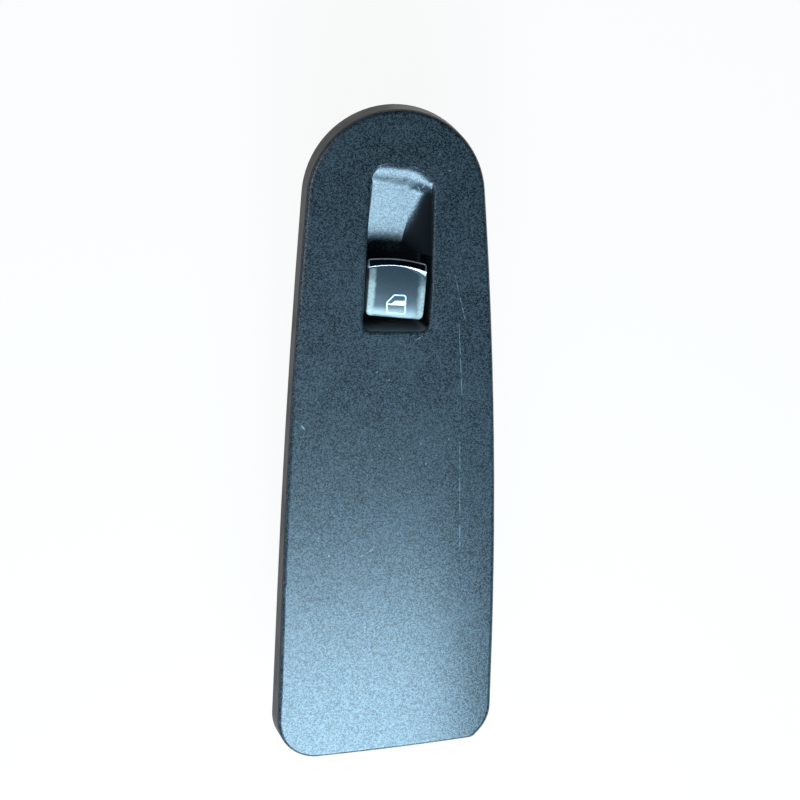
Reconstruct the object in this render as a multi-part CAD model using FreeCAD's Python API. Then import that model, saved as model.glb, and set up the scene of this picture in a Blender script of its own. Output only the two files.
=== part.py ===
import FreeCAD, Part
import math
import os
from FreeCAD import Vector

# Power window switch: a long door trim panel with one recessed rocker switch.
# Millimetres. +Z comes out of the visible face, +Y runs along the panel towards
# its rounded end, +X to the right. The origin is on the axis of the main
# locating pin, in the plane of the skirt's foot, where the panel meets the door.

# Trim panel: outline of the skirt's foot
NOSE_X = -2.1                # centre of the rounded end
NOSE_Y = 66.2
NOSE_RADIUS = 29.9
LEFT_RADIUS = 3764.0         # the long left edge is a very flat arc
LEFT_LEAN = 2.02             # degrees between that edge and Y where it leaves the nose
RIGHT_RADIUS = 1504.0        # the right edge spreads more
RIGHT_LEAN = 8.09
RIGHT_ARC_END_Y = -95.0      # below this the right edge is straight
FOOT_Y = -126.1              # the slanted lower edge, at x = 0
FOOT_SLOPE = 4.4             # degrees
FOOT_CORNER_RADIUS = 14.0
CUT_X = 36.0                 # where the lower right corner is cut off
CUT_ANGLE = 47.0             # degrees from X
CUT_RADIUS = 14.0
CUT_TIP_RADIUS = 4.0

# Trim panel: form and walls
RISE = 7.5                   # top surface above the door at the origin
SWEEP_RADIUS = 2500.0        # hollow along its length
CROWN_RADIUS = 500.0         # crowned across
SKIRT_DRAFT = 0.9            # the skirt leans in by this much per 10 mm
SKIRT_WALL = 2.0
PANEL_WALL = 2.5
RIM_RADIUS = 1.5
RIB_THICKNESS = 1.4
RIB_FOOT_Z = 1.2             # ribs stop this far above the door
RIB_YS = (12.0, -20.0, -52.0, -84.0)

# Finger scoop and rocker well
OPENING_HALF_WIDTH = 11.0
OPENING_REAR_Y = 23.3
OPENING_LEFT_END_Y = 77.7    # far end of the opening at its left corner
OPENING_RIGHT_END_Y = 75.6
OPENING_TAPER = 1.8          # the right side comes in by this much at the far end
OPENING_STRAIGHT_END_Y = 39.5
OPENING_SIDE_RADIUS = 40.0   # blends the straight part of the right side into the taper
OPENING_REAR_RADIUS = 3.0
OPENING_LEFT_RADIUS = 5.2
OPENING_RIGHT_RADIUS = 9.5
OPENING_DRAFT = 2.0          # degrees
OPENING_RIM_RADIUS = 1.3
WELL_FRONT_Y = 47.6          # the scoop's floor ends here
WELL_WALL = 2.0
FLOOR_DEPTH_FAR = 0.9        # depth of the floor at the far end, below the top
FLOOR_DEPTH_NEAR = 11.3      # and at the rocker
FLOOR_FILLET = 1.2
DECK_Z = -7.0                # the well's foot, seated on the switch housing

# Locating pins and clip blades
PIN_RADIUS = 2.5
PIN_LENGTH = 10.0            # below the door plane
PIN_CHAMFER = 0.8
PIN_BOSS_RADIUS = 4.0        # stiffens each pin above the ribs' feet
SECOND_PIN_Y = -98.0
BLADE_WIDTH = 9.0
BLADE_THICKNESS = 2.0
BLADE_LENGTH = 9.0           # below the door plane
BLADE_PLACES = (
    (-22.5, 60.0),
    (19.5, 60.0),
    (-24.0, RIB_YS[1]),
    (27.0, RIB_YS[1]),
    (-24.0, RIB_YS[3]),
    (31.0, RIB_YS[3]),
)
CLIP_SHEET = 0.5
CLIP_WIDTH = 7.0
CLIP_BULGE = 1.6             # how far each leg springs out
CLIP_LEG = 8.0

# Rocker: pivot and travel
PIVOT_Y = 35.0
PIVOT_Z = -1.5
TRUNNION_RADIUS = 1.5
RUNNING_GAP = 0.05

# Rocker cap
CAP_LEFT_X = -9.7
CAP_RIGHT_X = 9.4
CAP_REAR_LEFT_Y = 27.9
CAP_REAR_RIGHT_Y = 26.5
CAP_FRONT_LEFT_Y = 44.1      # the front edge is an arc through these three
CAP_FRONT_TOP_X = -3.8
CAP_FRONT_TOP_Y = 45.1
CAP_FRONT_RIGHT_Y = 41.3
CAP_FOOT_Z = -5.0
CAP_WALL = 1.45
CAP_ROOF = 1.3
CREST_Z = 6.75               # top of the lip
HEEL_Z = 5.15                # top of the rear edge, before it rolls off
CAP_CROWN = 0.5              # the sides of the top fall by this much
CAP_FRONT_RADIUS = 0.7       # upright corners at the lip
CAP_REAR_RADIUS = 1.6        # and at the rear
CAP_EDGE_RADIUS = 0.4
HEEL_REACH = 2.2             # the rear edge rolls off over this length
HEEL_DROP = 0.6

# Bright strip on the lip
STRIP_REACH = 1.9            # how far it leans out over the scoop
STRIP_DROP = 2.4             # height of its slanted face
STRIP_LAND = 0.45            # flat on its crest
STRIP_SEAT = 0.9             # depth of the rebate that it sits in
STRIP_PROUD = 0.3            # its ends stand this far out of the cap's sides
STRIP_TONGUE_DROP = 1.6      # the tongue in the rebate starts this far under the crest
STRIP_FOOT = 0.7             # height of the strip's foot under its slanted face
STRIP_NOSE = 0.3             # its lower edge turns back by this much

# Switch housing
HOUSING_HALF_WIDTH = 15.0
HOUSING_REAR_Y = 18.0
HOUSING_FRONT_Y = 54.0
HOUSING_WALL = 1.6
HOUSING_DECK = 1.8
HOUSING_FOOT_Z = -19.0
TOWER_HALF_WIDTH = 7.0
TOWER_HALF_LENGTH = 4.6
TOWER_TOP_Z = -3.4
TOWER_CHAMFER = 1.2
CHEEK_WALL = 1.5
CHEEK_RADIUS = 3.2
EAR_GAP = 0.15
LATCH_YS = (29.0, 41.0)
LATCH_WIDTH = 4.0
LATCH_ARM = 1.2
LATCH_NOSE = 0.9
LATCH_TOP_Z = 0.0
LATCH_NOSE_HEIGHT = 2.2
LATCH_NOSE_RAMP = 1.4        # of that height, the part that slopes
LATCH_GAP = 0.15
COVER_LATCH_WIDTH = 3.6
COVER_LATCH_HEIGHT = 1.0
COVER_LATCH_INSET = 7.0      # from the housing's ends
COVER_LATCH_Z = 0.6          # above the housing's foot
POST_SIDE = 2.8              # square posts that the board's corners rest on
OVERLAP = 0.5                # what is fused runs this far into its carrier
CORNER_RADIUS = 1.5          # upright corners of housing and cover
TRUNNION_INSET = 0.35        # the trunnions end this far inside the cap's sides

# Plungers, dome mat and board
PLUNGER_OFFSET = 2.9         # either side of the pivot
PLUNGER_HALF_WIDTH = 5.4
PLUNGER_THICKNESS = 1.8
PLUNGER_GUIDE_GAP = 0.08
PLUNGER_PLATE = 1.1
PLUNGER_PLATE_HALF = 1.7
PLUNGER_PLATE_SIDE = 0.6     # the plate is wider than the stem by this on each side
PLUNGER_FOOT_Z = -10.4
FOOT_GAP = 0.02
FOOT_INNER_X = 3.6
FOOT_OUTER_X = 5.2
BOARD_TOP_Z = -15.4
BOARD_THICKNESS = 1.6
BOARD_GAP = 0.5
MAT_THICKNESS = 1.0
MAT_HALF_WIDTH = 8.0
MAT_HALF_LENGTH = 6.6
MAT_EYE_RADIUS = 1.5         # hole for the light under the guide
DOME_X = 3.6
DOME_RADIUS = 2.4
DOME_TOP_RADIUS = 1.4
DOME_WALL = 0.6
DOME_WEB = 1.4               # height of the thin slanted web that gives way
PILL_RADIUS = 0.75           # of the pill and of the post that carries it
PILL_HEIGHT = 0.6
DOME_PILL_GAP = 0.15
CONTACT_GAP = 0.3            # stroke until a pill meets its pad
PAD_RADIUS = 1.4
PAD_HEIGHT = 0.1
GUIDE_RADIUS = 1.0
GUIDE_TOP_Z = -1.0
LED_LENGTH = 1.4
LED_WIDTH = 1.0
LED_HEIGHT = 0.7
LED_GAP = 0.3
CHIP_WIDTH = 1.6
CHIP_LENGTH = 3.2
CHIP_HEIGHT = 0.55
CHIP_PITCH = 2.5
CHIP_COUNT = 3
CHIP_X = 0.4                 # the first of the row
CHIP_Y = 47.0
CAN_X = -4.2
CAN_RADIUS = 2.5
CAN_HEIGHT = 5.2
CAN_EDGE = 0.4

# Symbol lens
LENS_HALF_WIDTH = 3.2
LENS_REAR_Y = 29.6
LENS_FRONT_Y = 37.0
LENS_THICKNESS = 1.1
LENS_RADIUS = 0.5

# Terminals, header and base cover
PIN_COUNT = 6
PIN_PITCH = 2.5
PIN_SIDE = 0.64
PIN_ROW_Y = 25.2
PIN_TOP_Z = -12.4
PIN_TIP_Z = -29.4
HEADER_HEIGHT = 2.2
COVER_PLATE = 1.8
COVER_RIM = 1.2
COVER_GAP = 0.1
SHROUD_HALF_WIDTH = 10.6
SHROUD_HALF_DEPTH = 5.6
SHROUD_WALL = 1.6
SHROUD_RADIUS = 1.2
SHROUD_ROOF = 1.6            # between the shroud's hollow and the cover's plate
KEY_WIDTH = 0.8              # two ribs in the shroud that the plug's grooves pass
KEY_DEPTH = 1.0
KEY_INSET = 1.2
RAMP_WIDTH = 4.0             # catch for the plug's lever
RAMP_HEIGHT = 1.2
RAMP_LENGTH = 2.0
RAMP_Z = 3.0                 # above the shroud's mouth
PIN_HOLE_GAP = 0.15
HEADER_CHAMFER = 0.4
SHROUD_FOOT_Z = -34.0
BOARD_SCREW_RADIUS = 1.1
BOARD_SCREW_HEAD = 2.1       # radius of the head and of its boss
BOARD_SCREW_HEAD_HEIGHT = 1.2
BOARD_SCREW_BITE = 4.0       # length in the boss
BOARD_SCREW_X = 9.6
BOARD_SCREW_Y = 45.5

# Reach of the cutting tools
HIGH = 14.0
LOW = -40.0
SPAN_X = 60.0
SPAN_Y = 140.0


def top_z(x, y):
    """Height of the panel's top surface."""
    return RISE + y * y / (2 * SWEEP_RADIUS) - x * x / (2 * CROWN_RADIUS)


def box(x0, x1, y0, y1, z0, z1):
    return Part.makeBox(x1 - x0, y1 - y0, z1 - z0, Vector(x0, y0, z0))


def upright(x, y, z0, z1, radius):
    return Part.makeCylinder(radius, z1 - z0, Vector(x, y, z0))


def crosswise(x0, x1, y, z, radius):
    return Part.makeCylinder(radius, x1 - x0, Vector(x0, y, z), Vector(1, 0, 0))


def crossing(a, b, c, d):
    """Where the plan lines a-b and c-d cross."""
    u = b - a
    v = d - c
    t = ((c.x - a.x) * v.y - (c.y - a.y) * v.x) / (u.x * v.y - u.y * v.x)
    return a + u * t


def shifted(a, b, inset):
    """The plan line a-b moved to its left by inset."""
    along = (b - a).normalize()
    side = Vector(-along.y, along.x, 0) * inset
    return a + side, b + side


def rounded_edges(points, radii, closed):
    """Edges of a chain of plan points, its corners rounded."""
    count = len(points)
    starts = []
    ends = []
    mids = []
    for i in range(count):
        here = points[i]
        if radii[i] <= 0:
            starts.append(here)
            ends.append(here)
            mids.append(None)
            continue
        back = (points[i - 1] - here).normalize()
        ahead = (points[(i + 1) % count] - here).normalize()
        half = back.getAngle(ahead) / 2
        reach = radii[i] / math.tan(half)
        centre = here + (back + ahead).normalize() * (radii[i] / math.sin(half))
        starts.append(here + back * reach)
        ends.append(here + ahead * reach)
        mids.append(centre + (here - centre).normalize() * radii[i])
    edges = []
    for i in range(count):
        if mids[i] is not None:
            edges.append(Part.Arc(starts[i], mids[i], ends[i]).toShape())
        if i + 1 < count or closed:
            edges.append(Part.makeLine(ends[i], starts[(i + 1) % count]))
    return edges


def rounded_wire(corners, inset, z):
    """A closed outline from counter-clockwise (x, y, radius) corners, moved inwards."""
    plan = [Vector(x, y, 0) for x, y, radius in corners]
    count = len(plan)
    lines = [shifted(plan[i], plan[(i + 1) % count], inset) for i in range(count)]
    points = [crossing(*lines[i - 1], *lines[i]) for i in range(count)]
    radii = [max(radius - inset, 0.1) if radius > 0 else 0 for x, y, radius in corners]
    wire = Part.Wire(rounded_edges(points, radii, True))
    wire.translate(Vector(0, 0, z))
    return wire


def side_prism(profile, x0, x1):
    """A closed (y, z) profile carried along X."""
    points = [Vector(x0, y, z) for y, z in profile]
    face = Part.Face(Part.makePolygon(points + points[:1]))
    return face.extrude(Vector(x1 - x0, 0, 0))


def between(lower, upper):
    """A solid with straight walls between two outlines of like build."""
    return Part.makeLoft([lower, upper], True, True)


def panel_outline(inset, z):
    """The panel's outline, moved inwards by inset: nose, two flat arcs, slanted foot."""
    centre = Vector(NOSE_X, NOSE_Y, 0)
    nose = NOSE_RADIUS - inset
    lean_l = math.radians(LEFT_LEAN)
    lean_r = math.radians(RIGHT_LEAN)
    out_l = Vector(-math.cos(lean_l), math.sin(lean_l), 0)
    out_r = Vector(math.cos(lean_r), math.sin(lean_r), 0)
    centre_l = centre - out_l * (LEFT_RADIUS - NOSE_RADIUS)
    centre_r = centre - out_r * (RIGHT_RADIUS - NOSE_RADIUS)

    def on_right(y):
        radius = RIGHT_RADIUS - inset
        return Vector(centre_r.x + math.sqrt(radius ** 2 - (y - centre_r.y) ** 2), y, 0)

    left_end = centre_l - Vector(LEFT_RADIUS - inset, 0, 0)
    half_lean = lean_l / 2
    out_mid = Vector(-math.cos(half_lean), math.sin(half_lean), 0)
    left_mid = centre_l + out_mid * (LEFT_RADIUS - inset)
    nose_left = centre + out_l * nose
    nose_right = centre + out_r * nose
    right_end = on_right(RIGHT_ARC_END_Y)
    outward = (right_end - centre_r).normalize()
    along = Vector(-outward.y, outward.x, 0)

    slope = math.radians(FOOT_SLOPE)
    foot = Vector(0, FOOT_Y, 0)
    foot_line = shifted(foot, foot + Vector(math.cos(slope), math.sin(slope), 0), inset)
    cut = Vector(CUT_X, FOOT_Y + CUT_X * math.tan(slope), 0)
    angle = math.radians(CUT_ANGLE)
    cut_line = shifted(cut, cut + Vector(math.cos(angle), math.sin(angle), 0), inset)
    foot_left = crossing(left_end, left_end - Vector(0, 1, 0), *foot_line)
    foot_right = crossing(*foot_line, *cut_line)
    cut_top = crossing(*cut_line, right_end, right_end + along)

    edges = [Part.Arc(nose_right, centre + Vector(0, nose, 0), nose_left).toShape()]
    edges.append(Part.Arc(nose_left, left_mid, left_end).toShape())
    chain = [left_end, foot_left, foot_right, cut_top, right_end]
    radii = [0, FOOT_CORNER_RADIUS - inset, CUT_TIP_RADIUS - inset, CUT_RADIUS - inset, 0]
    edges += rounded_edges(chain, radii, False)
    right_mid = on_right((right_end.y + nose_right.y) / 2)
    edges.append(Part.Arc(right_end, right_mid, nose_right).toShape())
    wire = Part.Wire(edges)
    wire.translate(Vector(0, 0, z))
    return wire


def under_surface(drop, low_z):
    """Everything under the panel's top surface lowered by drop."""
    half = SPAN_X
    radius = CROWN_RADIUS - drop
    centre_z = RISE - CROWN_RADIUS
    edge_z = centre_z + math.sqrt(radius ** 2 - half ** 2)
    left = Vector(-half, 0, edge_z)
    right = Vector(half, 0, edge_z)
    arc = Part.Arc(left, Vector(0, 0, centre_z + radius), right).toShape()
    low_right = Vector(half, 0, low_z)
    low_left = Vector(-half, 0, low_z)
    lines = [Part.makeLine(right, low_right), Part.makeLine(low_right, low_left)]
    lines.append(Part.makeLine(low_left, left))
    face = Part.Face(Part.Wire([arc] + lines))
    axis_point = Vector(0, 0, RISE + SWEEP_RADIUS)
    spread = math.degrees(SPAN_Y / SWEEP_RADIUS)
    face.rotate(axis_point, Vector(1, 0, 0), -spread)
    return face.revolve(axis_point, Vector(1, 0, 0), 2 * spread)


def skirt_prism(inset, z0, z1):
    """The panel's outline with the skirt's draft, between two heights."""
    lean = SKIRT_DRAFT / 10.0
    return between(panel_outline(inset + lean * z0, z0), panel_outline(inset + lean * z1, z1))


def opening_prism(inset, z0, z1):
    """The opening's outline with its draft, true to size at the panel's top."""
    half = OPENING_HALF_WIDTH
    corners = [
        (-half, OPENING_REAR_Y, OPENING_REAR_RADIUS),
        (half, OPENING_REAR_Y, OPENING_REAR_RADIUS),
        (half, OPENING_STRAIGHT_END_Y, OPENING_SIDE_RADIUS),
        (half - OPENING_TAPER, OPENING_RIGHT_END_Y, OPENING_RIGHT_RADIUS),
        (-half, OPENING_LEFT_END_Y, OPENING_LEFT_RADIUS),
    ]
    lean = math.tan(math.radians(OPENING_DRAFT))
    lower = rounded_wire(corners, inset + lean * (RISE - z0), z0)
    upper = rounded_wire(corners, inset + lean * (RISE - z1), z1)
    return between(lower, upper)


def floor_line():
    """The scoop's floor in the (y, z) plane: its far and its near end."""
    far_y = OPENING_LEFT_END_Y
    near_y = WELL_FRONT_Y
    return (far_y, top_z(0, far_y) - FLOOR_DEPTH_FAR), (near_y, top_z(0, near_y) - FLOOR_DEPTH_NEAR)


def floor_z(y, below=0.0):
    """Height of the floor, or of a parallel line under it."""
    (far_y, far_z), (near_y, near_z) = floor_line()
    slope = (far_z - near_z) / (far_y - near_y)
    return near_z + (y - near_y) * slope - below * math.sqrt(1 + slope ** 2)


def scoop_tool():
    """The hollow in front of the rocker, with a wide fillet round its floor."""
    past = OPENING_LEFT_END_Y + 4
    start = WELL_FRONT_Y - OVERLAP
    profile = [(start, floor_z(start)), (past, floor_z(past)), (past, HIGH), (start, HIGH)]
    half = OPENING_HALF_WIDTH + 4
    tool = opening_prism(0, DECK_Z, HIGH).common(side_prism(profile, -half, half))
    rounded = []
    for edge in tool.Edges:
        middle = edge.valueAt((edge.FirstParameter + edge.LastParameter) / 2)
        on_floor = all(abs(v.Z - floor_z(v.Y)) < 0.01 for v in edge.Vertexes)
        if on_floor and abs(middle.z - floor_z(middle.y)) < 0.01 and middle.y > start + OVERLAP:
            rounded.append(edge)
    return tool.makeFillet(FLOOR_FILLET, rounded)


def well_tool():
    """The shaft that the rocker stands in, open at its foot."""
    half = OPENING_HALF_WIDTH + 4
    return opening_prism(0, DECK_Z - 1, HIGH).common(box(-half, half, 0, WELL_FRONT_Y, LOW, HIGH))


def scoop_shell():
    """The moulded wall round scoop and well, under the panel's top."""
    half = OPENING_HALF_WIDTH + WELL_WALL
    corners = [
        (-half, OPENING_REAR_Y - WELL_WALL, OPENING_REAR_RADIUS + WELL_WALL),
        (half, OPENING_REAR_Y - WELL_WALL, OPENING_REAR_RADIUS + WELL_WALL),
        (half, OPENING_RIGHT_END_Y + WELL_WALL, OPENING_RIGHT_RADIUS + WELL_WALL),
        (-half, OPENING_LEFT_END_Y + WELL_WALL, OPENING_LEFT_RADIUS + WELL_WALL),
    ]
    outline = Part.Face(rounded_wire(corners, 0, DECK_Z))
    block = outline.extrude(Vector(0, 0, HIGH - DECK_Z))
    past = OPENING_LEFT_END_Y + 6
    wall_y = WELL_FRONT_Y + WELL_WALL
    rear = OPENING_REAR_Y - 6
    profile = [
        (rear, DECK_Z),
        (wall_y, DECK_Z),
        (wall_y, floor_z(wall_y, WELL_WALL)),
        (past, floor_z(past, WELL_WALL)),
        (past, HIGH),
        (rear, HIGH),
    ]
    shell = block.common(side_prism(profile, -half - 1, half + 1))
    return shell.common(under_surface(PANEL_WALL / 2, LOW))


def rib_tool():
    """Ribs under the panel, before they are trimmed to its underside."""
    half = RIB_THICKNESS / 2
    ribs = [box(-SPAN_X, SPAN_X, y - half, y + half, RIB_FOOT_Z, HIGH) for y in RIB_YS]
    ribs.append(box(-half, half, -SPAN_Y, RIB_YS[0], RIB_FOOT_Z, HIGH))
    return ribs[0].multiFuse(ribs[1:])


def blade(x, y):
    """A clip blade: a flat tongue under the panel with two small gussets."""
    half = BLADE_WIDTH / 2
    thick = BLADE_THICKNESS / 2
    tongue = box(x - half, x + half, y - thick, y + thick, -BLADE_LENGTH, HIGH)
    gusset_half = RIB_THICKNESS / 2
    gusset = box(x - gusset_half, x + gusset_half, y - 3 * thick, y + 3 * thick, RIB_FOOT_Z, HIGH)
    return tongue.fuse(gusset)


def locating_pin(y):
    """A round pin with a chamfered tip, standing on a boss."""
    pin = upright(0, y, -PIN_LENGTH, HIGH, PIN_RADIUS)
    tip = [edge for edge in pin.Edges if abs(edge.BoundBox.ZMax + PIN_LENGTH) < 0.01]
    return pin.makeChamfer(PIN_CHAMFER, tip).fuse(upright(0, y, RIB_FOOT_Z, HIGH, PIN_BOSS_RADIUS))


def latch_pockets(gap):
    """Windows in the well's walls for the noses of the latch arms."""
    pockets = []
    side = OPENING_HALF_WIDTH + WELL_WALL
    half = LATCH_WIDTH / 2 + gap
    for sign in (-1, 1):
        for y in LATCH_YS:
            x0 = sign * (side - LATCH_NOSE - gap)
            x1 = sign * (side + 2)
            foot = LATCH_TOP_Z - LATCH_NOSE_HEIGHT - gap
            pockets.append(box(min(x0, x1), max(x0, x1), y - half, y + half, foot, LATCH_TOP_Z + gap))
    return pockets


def trim_panel():
    """One moulding: crowned shell, skirt, scoop, rocker well, ribs, blades and pins."""
    body = skirt_prism(0, 0, HIGH).common(under_surface(0, LOW))
    rim = [edge for edge in body.Edges if edge.BoundBox.ZMin > RISE / 2]
    body = body.makeFillet(RIM_RADIUS, rim)
    hollow = skirt_prism(SKIRT_WALL, -1, HIGH).common(under_surface(PANEL_WALL, LOW))
    inside = skirt_prism(SKIRT_WALL / 2, -1, HIGH).common(under_surface(PANEL_WALL / 2, LOW))
    body = body.cut(hollow)

    extras = [rib_tool().common(inside)]
    reach = under_surface(PANEL_WALL / 2, LOW)
    extras += [blade(x, y).common(reach) for x, y in BLADE_PLACES]
    extras += [locating_pin(y).common(reach) for y in (0.0, SECOND_PIN_Y)]
    extras.append(scoop_shell())
    body = body.multiFuse(extras)
    body = body.cut(well_tool())
    body = body.cut(scoop_tool())
    body = cut_all(body, latch_pockets(LATCH_GAP)).removeSplitter()

    half = OPENING_HALF_WIDTH + 1
    rim = []
    for edge in body.Edges:
        b = edge.BoundBox
        inside_x = -half < b.XMin and b.XMax < half
        inside_y = OPENING_REAR_Y - 1 < b.YMin and b.YMax < OPENING_LEFT_END_Y + 1
        if inside_x and inside_y and b.ZMin > RISE - 0.3:
            rim.append(edge)
    return body.makeFillet(OPENING_RIM_RADIUS, rim)


def cut_all(body, tools):
    for tool in tools:
        body = body.cut(tool)
    return body


def front_arc():
    """Centre and radius of the arc that the cap's front edge follows."""
    a = Vector(CAP_LEFT_X, CAP_FRONT_LEFT_Y, 0)
    b = Vector(CAP_FRONT_TOP_X, CAP_FRONT_TOP_Y, 0)
    c = Vector(CAP_RIGHT_X, CAP_FRONT_RIGHT_Y, 0)
    circle = Part.Circle(a, b, c)
    return circle.Center, circle.Radius


def front_y(x, inset=0.0):
    centre, radius = front_arc()
    return centre.y + math.sqrt((radius - inset) ** 2 - (x - centre.x) ** 2)


def cap_outline(inset, z):
    """Plan of the rocker cap: straight sides, slanted rear, arched front."""
    rear = Vector(CAP_LEFT_X, CAP_REAR_LEFT_Y, 0), Vector(CAP_RIGHT_X, CAP_REAR_RIGHT_Y, 0)
    rear = shifted(*rear, inset)
    left = CAP_LEFT_X + inset
    right = CAP_RIGHT_X - inset
    up = Vector(0, 1, 0)
    rear_left = crossing(*rear, Vector(left, 0, 0), Vector(left, 0, 0) + up)
    rear_right = crossing(*rear, Vector(right, 0, 0), Vector(right, 0, 0) + up)
    front_left = Vector(left, front_y(left, inset), 0)
    front_right = Vector(right, front_y(right, inset), 0)
    top = Vector(CAP_FRONT_TOP_X, front_y(CAP_FRONT_TOP_X, inset), 0)
    edges = [
        Part.makeLine(rear_left, rear_right),
        Part.makeLine(rear_right, front_right),
        Part.Arc(front_right, top, front_left).toShape(),
        Part.makeLine(front_left, rear_left),
    ]
    wire = Part.Wire(edges)
    wire.translate(Vector(0, 0, z))
    return wire


def cap_top_z(x, y):
    """Height of the cap's top: level at the lip, it falls ever faster to the rear and the sides."""
    middle = (CAP_LEFT_X + CAP_RIGHT_X) / 2
    half = (CAP_RIGHT_X - CAP_LEFT_X) / 2
    rear_y = CAP_REAR_LEFT_Y + (CAP_REAR_RIGHT_Y - CAP_REAR_LEFT_Y) * (x - CAP_LEFT_X) / (2 * half)
    back = (front_y(x) - y) / (front_y(x) - rear_y)
    across = CAP_CROWN * ((x - middle) / half) ** 4 * (1 - (1 - back) ** 2)
    roll = max(0.0, rear_y + HEEL_REACH - y) / HEEL_REACH
    return CREST_Z - (CREST_Z - HEEL_Z) * back ** 2 - across - HEEL_DROP * roll ** 2


def under_cap_top():
    """Everything under the cap's top surface."""
    xs = [CAP_LEFT_X - 2 + i * (CAP_RIGHT_X - CAP_LEFT_X + 4) / 8 for i in range(9)]
    y0 = CAP_REAR_RIGHT_Y - 3
    y1 = CAP_FRONT_TOP_Y + 3
    ys = [y0 + i * (y1 - y0) / 11 for i in range(12)]
    surface = Part.BSplineSurface()
    surface.interpolate([[Vector(x, y, cap_top_z(x, y)) for y in ys] for x in xs])
    return surface.toShape().extrude(Vector(0, 0, CAP_FOOT_Z - HIGH))


def upright_edges(solid):
    """The edges that stand along Z."""
    return [e for e in solid.Edges if e.BoundBox.XLength < 1e-6 and e.BoundBox.YLength < 1e-6]


def cap_feet():
    """Four rounded feet that press the plungers."""
    feet = []
    half = PLUNGER_THICKNESS / 2
    roof = HEEL_Z - CAP_ROOF
    for side in (-1, 1):
        x0 = min(side * FOOT_INNER_X, side * FOOT_OUTER_X)
        x1 = max(side * FOOT_INNER_X, side * FOOT_OUTER_X)
        for y in (PIVOT_Y - PLUNGER_OFFSET, PIVOT_Y + PLUNGER_OFFSET):
            feet.append(box(x0, x1, y - half, y + half, PIVOT_Z + half, roof))
            feet.append(crosswise(x0, x1, y, PIVOT_Z + half, half))
    return feet


def rocker_cap():
    """Hollow cap with ears for the trunnions, feet for the plungers and a rebate for the strip."""
    block = Part.Face(cap_outline(0, CAP_FOOT_Z)).extrude(Vector(0, 0, HIGH))
    rear = [edge for edge in upright_edges(block) if edge.BoundBox.YMin < PIVOT_Y]
    block = block.makeFillet(CAP_REAR_RADIUS, rear)
    front = [edge for edge in upright_edges(block) if edge.BoundBox.YMin > CAP_FRONT_RIGHT_Y - 0.5]
    block = block.makeFillet(CAP_FRONT_RADIUS, front)
    body = block.common(under_cap_top())
    rim = [edge for edge in body.Edges if edge.BoundBox.ZMin > HEEL_Z - 2 and edge.BoundBox.YMin < PIVOT_Y]
    body = body.makeFillet(CAP_EDGE_RADIUS, rim)
    roof = HEEL_Z - CAP_ROOF
    hollow = Part.Face(cap_outline(CAP_WALL, CAP_FOOT_Z - 1)).extrude(Vector(0, 0, roof - CAP_FOOT_Z + 1))
    body = body.cut(hollow)
    ear_face = TOWER_HALF_WIDTH + EAR_GAP
    bosses = [
        crosswise(CAP_LEFT_X + CAP_WALL / 2, -ear_face, PIVOT_Y, PIVOT_Z, 2 * TRUNNION_RADIUS),
        crosswise(ear_face, CAP_RIGHT_X - CAP_WALL / 2, PIVOT_Y, PIVOT_Z, 2 * TRUNNION_RADIUS),
    ]
    body = body.multiFuse(bosses + cap_feet())
    bore = TRUNNION_RADIUS + RUNNING_GAP
    body = body.cut(crosswise(CAP_LEFT_X - 2, -ear_face + OVERLAP, PIVOT_Y, PIVOT_Z, bore))
    body = body.cut(crosswise(ear_face - OVERLAP, CAP_RIGHT_X + 2, PIVOT_Y, PIVOT_Z, bore))
    return body.cut(lip_strip()).removeSplitter()


def lip_strip():
    """The bright strip: one section carried round the arc of the cap's front edge."""
    centre, radius = front_arc()
    base = CREST_Z - STRIP_DROP
    seat_top = CREST_Z - STRIP_TONGUE_DROP
    foot = base - STRIP_FOOT
    section = [
        (radius - STRIP_LAND, CREST_Z),
        (radius, CREST_Z),
        (radius + STRIP_REACH, base),
        (radius + STRIP_REACH - STRIP_NOSE, base - STRIP_FOOT / 2),
        (radius, foot),
        (radius - STRIP_SEAT, foot),
        (radius - STRIP_SEAT, seat_top),
        (radius - STRIP_LAND, seat_top),
    ]
    points = [Vector(centre.x + r, centre.y, z) for r, z in section]
    face = Part.Face(Part.makePolygon(points + points[:1]))
    ring = face.revolve(Vector(centre.x, centre.y, 0), Vector(0, 0, 1), 180)
    left = CAP_LEFT_X - STRIP_PROUD
    right = CAP_RIGHT_X + STRIP_PROUD
    return ring.common(box(left, right, PIVOT_Y, OPENING_LEFT_END_Y, LOW, HIGH))


def symbol_lens():
    """Clear plate under the cap's roof that spreads the light behind the symbol."""
    roof = HEEL_Z - CAP_ROOF
    foot = roof - LENS_THICKNESS
    return rounded_box(-LENS_HALF_WIDTH, LENS_HALF_WIDTH, LENS_REAR_Y, LENS_FRONT_Y, foot, roof, LENS_RADIUS)


def plunger_slots(gap):
    """The two stems, or with a gap the slots that guide them."""
    half = PLUNGER_THICKNESS / 2 + gap
    wide = PLUNGER_HALF_WIDTH + gap
    top = PIVOT_Z - FOOT_GAP
    foot = PLUNGER_FOOT_Z
    ys = (PIVOT_Y - PLUNGER_OFFSET, PIVOT_Y + PLUNGER_OFFSET)
    return [box(-wide, wide, y - half, y + half, foot - gap, top + gap) for y in ys]


def plunger(index):
    """A flat stem with a plate that rests on two domes."""
    stem = plunger_slots(0)[index]
    y = PIVOT_Y + (PLUNGER_OFFSET if index else -PLUNGER_OFFSET)
    half = PLUNGER_PLATE_HALF
    wide = PLUNGER_HALF_WIDTH + PLUNGER_PLATE_SIDE
    plate = box(-wide, wide, y - half, y + half, PLUNGER_FOOT_Z, PLUNGER_FOOT_Z + PLUNGER_PLATE)
    plate = plate.makeFillet(PLUNGER_PLATE_SIDE, upright_edges(plate))
    return stem.fuse(plate).removeSplitter()


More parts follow.
